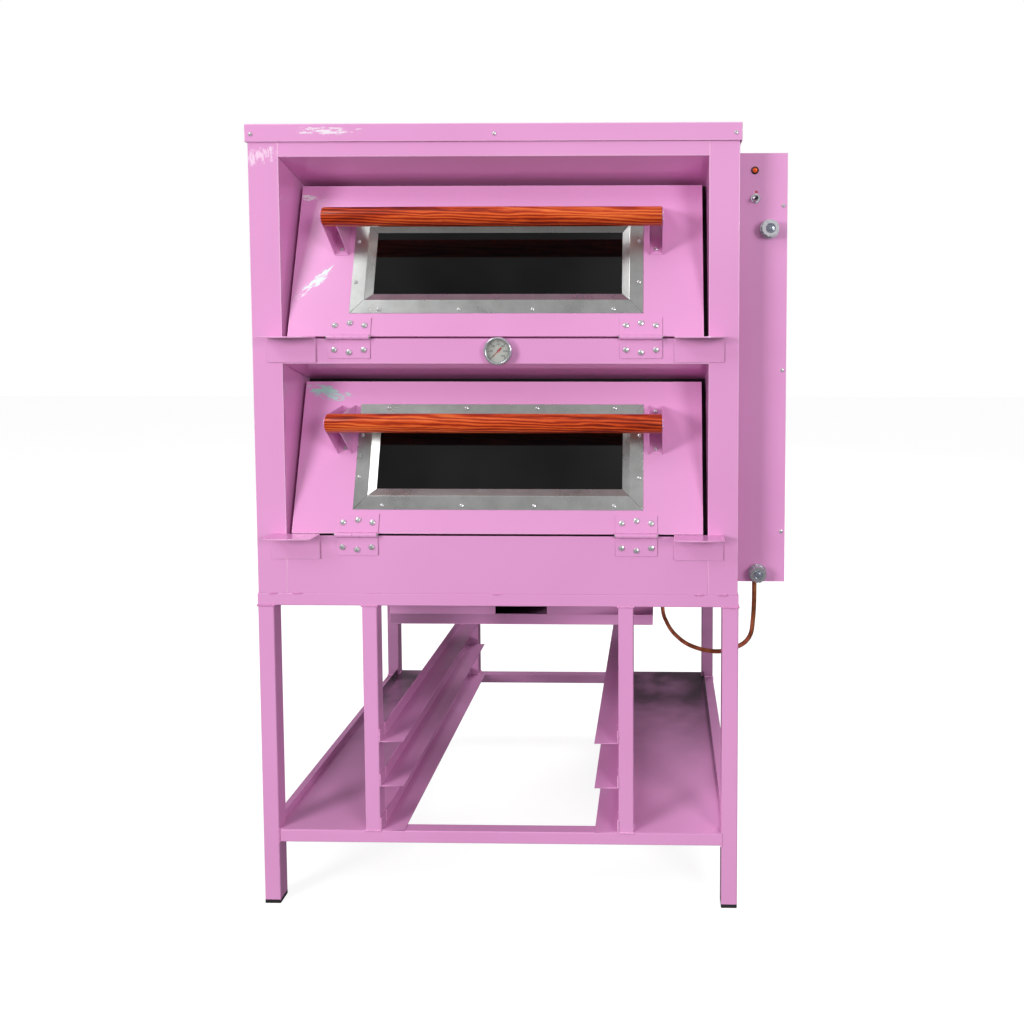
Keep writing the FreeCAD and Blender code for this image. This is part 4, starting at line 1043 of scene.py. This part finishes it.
@dataclass
class Thermometer:
    """Dial thermometer in the middle fascia."""

    palette: Palette
    depth: float = 0.014
    bezel_lip: float = 0.0042
    dial_radius: float = 0.0225
    minor_marks: int = 31
    major_marks: int = 7
    sweep: float = math.radians(270)
    number_radius: float = 0.0132
    number_height: float = 0.0050

    def build(self) -> None:
        """Build the bezel, the dial with its marks and numbers, and the needle."""
        low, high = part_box("thermometer_case")
        centre = face_spot("thermometer_case")
        radius = (high.x - low.x) / 2
        depth, lip = self.depth, self.bezel_lip
        profile = [(0, -depth - 0.002), (0.003, -depth - 0.002), (0.003, -depth), (radius - 0.002, -depth),
                   (radius, -depth + 0.002), (radius, -0.004)]
        for index in range(9):
            angle = math.pi * index / 8
            profile.append((radius - lip / 2 + lip / 2 * math.cos(angle) - 0.0002 * index,
                            -0.002 + 0.002 * math.sin(angle)))
        profile += [(radius - lip - 0.0002, -0.010), (0, -0.010)]
        turned("thermometer_bezel", profile, centre, self.palette.chrome, Body.OVEN, "bezel_chrome",
               "thermometer_case", segments=72)
        dress(self.palette.card, "thermometer_dial")
        self.marks(Vector((centre.x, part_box("thermometer_dial")[0].y, centre.z)))
        dress(self.palette.red, "thermometer_needle")
        dress(self.palette.lens, "thermometer_lens")

    def marks(self, centre: Vector) -> None:
        """Print the scale on the dial: fine and long marks, and numbers."""
        tree = dial_tree()
        pieces = []
        for name, count, length, width in (("fine", self.minor_marks, 0.0024, 0.0005),
                                           ("long", self.major_marks, 0.0042, 0.0010)):
            bm = bmesh.new()
            bmesh.ops.create_cube(bm, size=1.0, matrix=Matrix.Translation((0, 0, -length / 2))
                                  @ Matrix.Diagonal((width, 0.0003, length, 1)))
            mesh = mesh_from(bm, name)
            obj = tree.run(f"marks_{name}", mesh, Count=count, Radius=self.dial_radius - 0.0015,
                           First=-self.sweep / 2, Step=self.sweep / (count - 1), Finish=self.palette.ink)
            obj.data.transform(Matrix.Translation(centre))
            pieces.append(obj)
        for index in range(self.major_marks):
            angle = -self.sweep / 2 + self.sweep * index / (self.major_marks - 1)
            text = bpy.data.curves.new("number", "FONT")
            text.body = str(50 * index)
            text.size = self.number_height
            text.align_x = "CENTER"
            text.align_y = "CENTER"
            text.extrude = 0.00012
            obj = new_object("number", text)
            depsgraph = bpy.context.evaluated_depsgraph_get()
            mesh = bpy.data.meshes.new_from_object(obj.evaluated_get(depsgraph))
            bpy.data.objects.remove(obj)
            mesh.materials.clear()
            mesh.materials.append(self.palette.ink)
            spot = centre + Vector((math.sin(angle), 0, math.cos(angle))) * self.number_radius
            mesh.transform(Matrix.Translation(spot) @ Matrix.Rotation(math.pi / 2, 4, "X"))
            pieces.append(new_object("number", mesh))
        bm = bmesh.new()
        for obj in pieces:
            bm.from_mesh(obj.data)
            bpy.data.objects.remove(obj)
        mesh = bpy.data.meshes.new("dial_print")
        bm.to_mesh(mesh)
        bm.free()
        mesh.materials.append(self.palette.ink)
        seat(new_object("dial_print", mesh), Body.OVEN, "needle_paint")


@dataclass
class Controls:
    """Control box with its lamp, toggle switch, knobs and gas line."""

    palette: Palette
    ring: float = 0.0075
    nut: float = 0.0098
    cap: float = 0.0098
    dot: float = 0.0026
    bead: float = 0.0022

    def build(self) -> None:
        """Build the box, the lamp, the switch and the knobs."""
        softened("control_box", 0.0012, *self.palette.sheet)
        softened("control_cover", 0.0012, *self.palette.sheet, steps=2)
        self.shadow_strip()
        self.lamp()
        self.switch()
        self.knob("thermostat_knob", Body.THERMOSTAT_KNOB)
        self.knob("gas_valve_knob", Body.GAS_VALVE_KNOB)

    def shadow_strip(self) -> None:
        """Lay a dark rubber-finished bead in the corner between the box's front and the oven's side: a
        painted shadow standing for the shade in the gap there.
        """
        low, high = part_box("control_cover")
        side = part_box("right_side_panel")[1].x
        tall = high.z - low.z
        turned("side_gasket", [(0, 0), (self.bead, 0.0), (self.bead, tall), (0, tall)],
               (side + self.bead / 2, low.y, low.z), self.palette.rubber, Body.OVEN, "black_plastic",
               way=(0, 0, 1), segments=12)

    def lamp(self) -> None:
        """Build the amber lamp in its black ring."""
        spot = face_spot("pilot_lamp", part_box("control_cover")[0].y)
        ring = self.ring
        profile = [(0, -0.026), (0.0058, -0.026), (0.0058, 0.0), (ring, 0.0), (ring, 0.0018),
                   (ring - 0.0012, 0.0032), (ring - 0.0024, 0.0030), (ring - 0.0026, 0.001), (0, 0.001)]
        turned("lamp_ring", profile, spot, self.palette.black, Body.OVEN, "black_plastic", "pilot_lamp")
        dome = [(0, 0.0074), (0.0016, 0.0072), (0.0032, 0.0063), (0.0044, 0.0046), (0.0048, 0.0026),
                (0.0048, 0.0012), (0, 0.0012)]
        turned("lamp_lens", dome, spot, self.palette.amber, Body.OVEN, "black_plastic", segments=32)

    def switch(self) -> None:
        """Build the toggle's bushing, ring nut, lever and red mark."""
        spot = face_spot("toggle_switch_body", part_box("control_cover")[0].y)
        profile = [(0, -0.024), (0.007, -0.024), (0.007, -0.0012), (0.006, -0.001), (0.006, 0.0)]
        profile += [(self.nut, 0.0), (self.nut, 0.0018), (self.nut - 0.001, 0.0026), (0.0060, 0.0026)]
        for thread in range(6):
            profile += [(0.0060, 0.0030 + 0.0012 * thread), (0.0056, 0.0036 + 0.0012 * thread)]
        profile += [(0.0054, 0.0105), (0.0044, 0.0110), (0.0042, 0.0104), (0.0028, 0.0062), (0, 0.0062)]
        turned("toggle_bushing", profile, spot, self.palette.chrome, Body.OVEN, "screw_steel",
               "toggle_switch_body", segments=40)
        joint = next(j for j in frame["joints"] if j["name"] == "toggle_lever_throw")
        pivot = Vector(joint["pos_m"])
        tip = face_spot("toggle_lever")
        tip.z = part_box("toggle_lever")[0].z + 0.0028
        length = (tip - pivot).length
        baton = [(0, 0), (0.0015, 0.0), (0.0015, 0.3 * length), (0.0022, 0.72 * length),
                 (0.0027, 0.88 * length), (0.0024, 0.97 * length), (0.0012, length), (0, length)]
        turned("toggle_baton", baton, pivot, self.palette.iron, Body.TOGGLE_LEVER, "screw_steel",
               "toggle_lever", way=(tip - pivot).normalized(), segments=24)
        mark = [(0, 0.0006), (self.dot * 0.8, 0.0005), (self.dot, 0.0), (0, 0.0)]
        turned("toggle_mark", mark, spot + Vector((0.002, 0, 0.0128)), self.palette.red, Body.OVEN,
               "needle_paint", segments=24)

    def knob(self, node: str, body: Body) -> None:
        """Build a plated fluted knob with a dished cap.

        Args:
            node: the knob's node.
            body: its body.
        """
        softened(node, 0.0006, self.palette.chrome, steps=2, body=body, slot="knob_chrome")
        cap = self.cap
        profile = [(0, 0.0004), (0.0022, 0.0006), (0.0026, 0.0014), (cap - 0.003, 0.0004),
                   (cap - 0.0014, 0.0012), (cap, 0.0002), (cap, -0.001), (0, -0.001)]
        turned(f"{node}_cap", profile, face_spot(node), self.palette.cap, body, "knob_chrome", segments=40)

    def dress(self) -> None:
        """Finish the gas line."""
        dress(self.palette.brass, "thermostat_body", "gas_valve_body", "gas_manifold", "brass_fittings")
        dress(self.palette.copper, "copper_gas_pipe")


# ---------------------------------------------------------------- studio
@dataclass
class Studio:
    """Pale floor, soft lights, plain surroundings and the camera."""

    camera_place: tuple[float, float, float] = (0.2733, -1.9821, 1.1422)
    camera_pitch: float = 0.0526
    camera_yaw: float = 0.016
    lens: float = 29.149
    shift: tuple[float, float] = (-0.1311, -0.1277)
    levels: tuple[tuple[float, float], ...] = (
        (0.0, 0.20), (0.46, 0.26), (0.58, 0.50), (0.72, 0.36), (0.84, 0.28), (0.95, 1.1), (1.0, 1.2))
    behind: float = 0.34

    def floor(self) -> None:
        """Lay a wide pale floor."""
        coat = Coat("studio_floor")
        grain = coat.noise(3.0, 3.0)
        coat.finish(Base_Color=coat.blend(grain, (150, 150, 150), (156, 156, 156)), Roughness=0.9,
                    Specular_IOR_Level=0.1, Emission_Color=(1, 1, 1, 1), Emission_Strength=0.86)
        bm = bmesh.new()
        bmesh.ops.create_grid(bm, x_segments=1, y_segments=1, size=14.0)
        obj = new_object("studio_floor", mesh_from(bm, "studio_floor", coat.material))
        obj.visible_diffuse = False
        obj.visible_glossy = False

    def area(self, name: str, place: Point, target: Point, size: tuple[float, float], power: float,
             mirrored: bool = False) -> None:
        """Hang a rectangular soft light that faces a point.

        Args:
            name: the light's name.
            place: where it hangs.
            target: the point that it faces.
            size: its width and height.
            power: its power in watts.
            mirrored: whether bright surfaces show it.
        """
        light = bpy.data.lights.new(name, "AREA")
        light.shape = "RECTANGLE"
        light.size, light.size_y = size
        light.energy = power
        obj = bpy.data.objects.new(name, light)
        obj.visible_glossy = mirrored
        aim = (Vector(target) - Vector(place)).to_track_quat("-Z", "Y")
        obj.matrix_world = Matrix.Translation(Vector(place)) @ aim.to_matrix().to_4x4()
        bpy.context.scene.collection.objects.link(obj)

    def surroundings(self) -> None:
        """Surround the oven with a bright backdrop and a softly uneven room for reflections."""
        world = bpy.data.worlds.new("studio")
        bpy.context.scene.world = world
        world.use_nodes = True
        sky = Nodes(world.node_tree)
        way = sky.add("ShaderNodeTexCoord").outputs["Generated"]
        apart = sky.add("ShaderNodeSeparateXYZ", way)
        height = sky.ramp(sky.span(apart.outputs["Z"], -1, 1, 0, 1),
                          [(at, (grey, grey, grey, 1)) for at, grey in self.levels])
        front = sky.span(apart.outputs["Y"], -0.7, 0.5, 1.0, self.behind)
        clutter = sky.add("ShaderNodeTexNoise", Vector=way, Scale=2.6, Detail=4.0)
        uneven = sky.span(clutter.outputs["Fac"], 0.40, 0.62, 0.35, 1.55)
        room = sky.add("ShaderNodeBackground", height, sky.math("MULTIPLY", uneven, front))
        backdrop = sky.add("ShaderNodeBackground", (1, 1, 1, 1), 1.0)
        seen = sky.add("ShaderNodeLightPath").outputs["Is Camera Ray"]
        mix = sky.add("ShaderNodeMixShader", seen, room.outputs[0], backdrop.outputs[0])
        sky.add("ShaderNodeOutputWorld", Surface=mix.outputs[0])

    def camera(self) -> None:
        """Set the camera up."""
        data = bpy.data.cameras.new("camera")
        data.lens = self.lens
        data.sensor_width = 36.0
        data.shift_x, data.shift_y = self.shift
        data.clip_start, data.clip_end = 0.05, 60.0
        obj = bpy.data.objects.new("camera", data)
        obj.location = self.camera_place
        obj.rotation_euler = (math.pi / 2 - self.camera_pitch, 0, self.camera_yaw)
        bpy.context.scene.collection.objects.link(obj)
        bpy.context.scene.camera = obj

    def build(self) -> None:
        """Build the whole studio."""
        self.floor()
        self.area("key_light", (-3.0, -3.2, 4.2), (0, -0.2, 0.95), (1.8, 1.6), 58.0, True)
        self.area("front_fill", (-4.2, -4.4, 1.9), (0, -0.2, 0.8), (1.6, 1.4), 166.0)
        self.area("right_fill", (2.7, -3.9, 1.9), (0.4, -0.3, 1.0), (1.2, 1.4), 66.0, True)
        self.area("rear_light", (1.6, 3.3, 4.0), (0, 0.3, 1.0), (2.4, 1.6), 150.0)
        self.surroundings()
        self.camera()
        bpy.context.scene.view_settings.view_transform = "Standard"


def corners(box: Iterable[Vector]) -> list[list[float]]:
    """Return a box's corners as plain numbers."""
    return [[float(c) for c in corner] for corner in box]


def main() -> None:
    """Build the oven's pieces in order, then the studio."""
    logging.basicConfig(level=logging.INFO, format="%(message)s")
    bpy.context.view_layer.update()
    palette = Palette()
    LOG.info("finishes made")
    Stand(palette).build()
    LOG.info("stand built")
    casing = Casing(palette)
    casing.build()
    casing.dress()
    LOG.info("casing built")
    normals = {}
    for deck in Deck:
        door = Door(palette, deck)
        normals[deck] = door.normal()
        door.build()
        door.dress()
        LOG.info("%s door built", deck.value)
    Hinges(palette).build()
    Fasteners(palette).dress(normals)
    LOG.info("hinges and screws built")
    Thermometer(palette).build()
    controls = Controls(palette)
    controls.build()
    controls.dress()
    LOG.info("controls built")
    Studio().build()


if __name__ == "__main__":
    main()
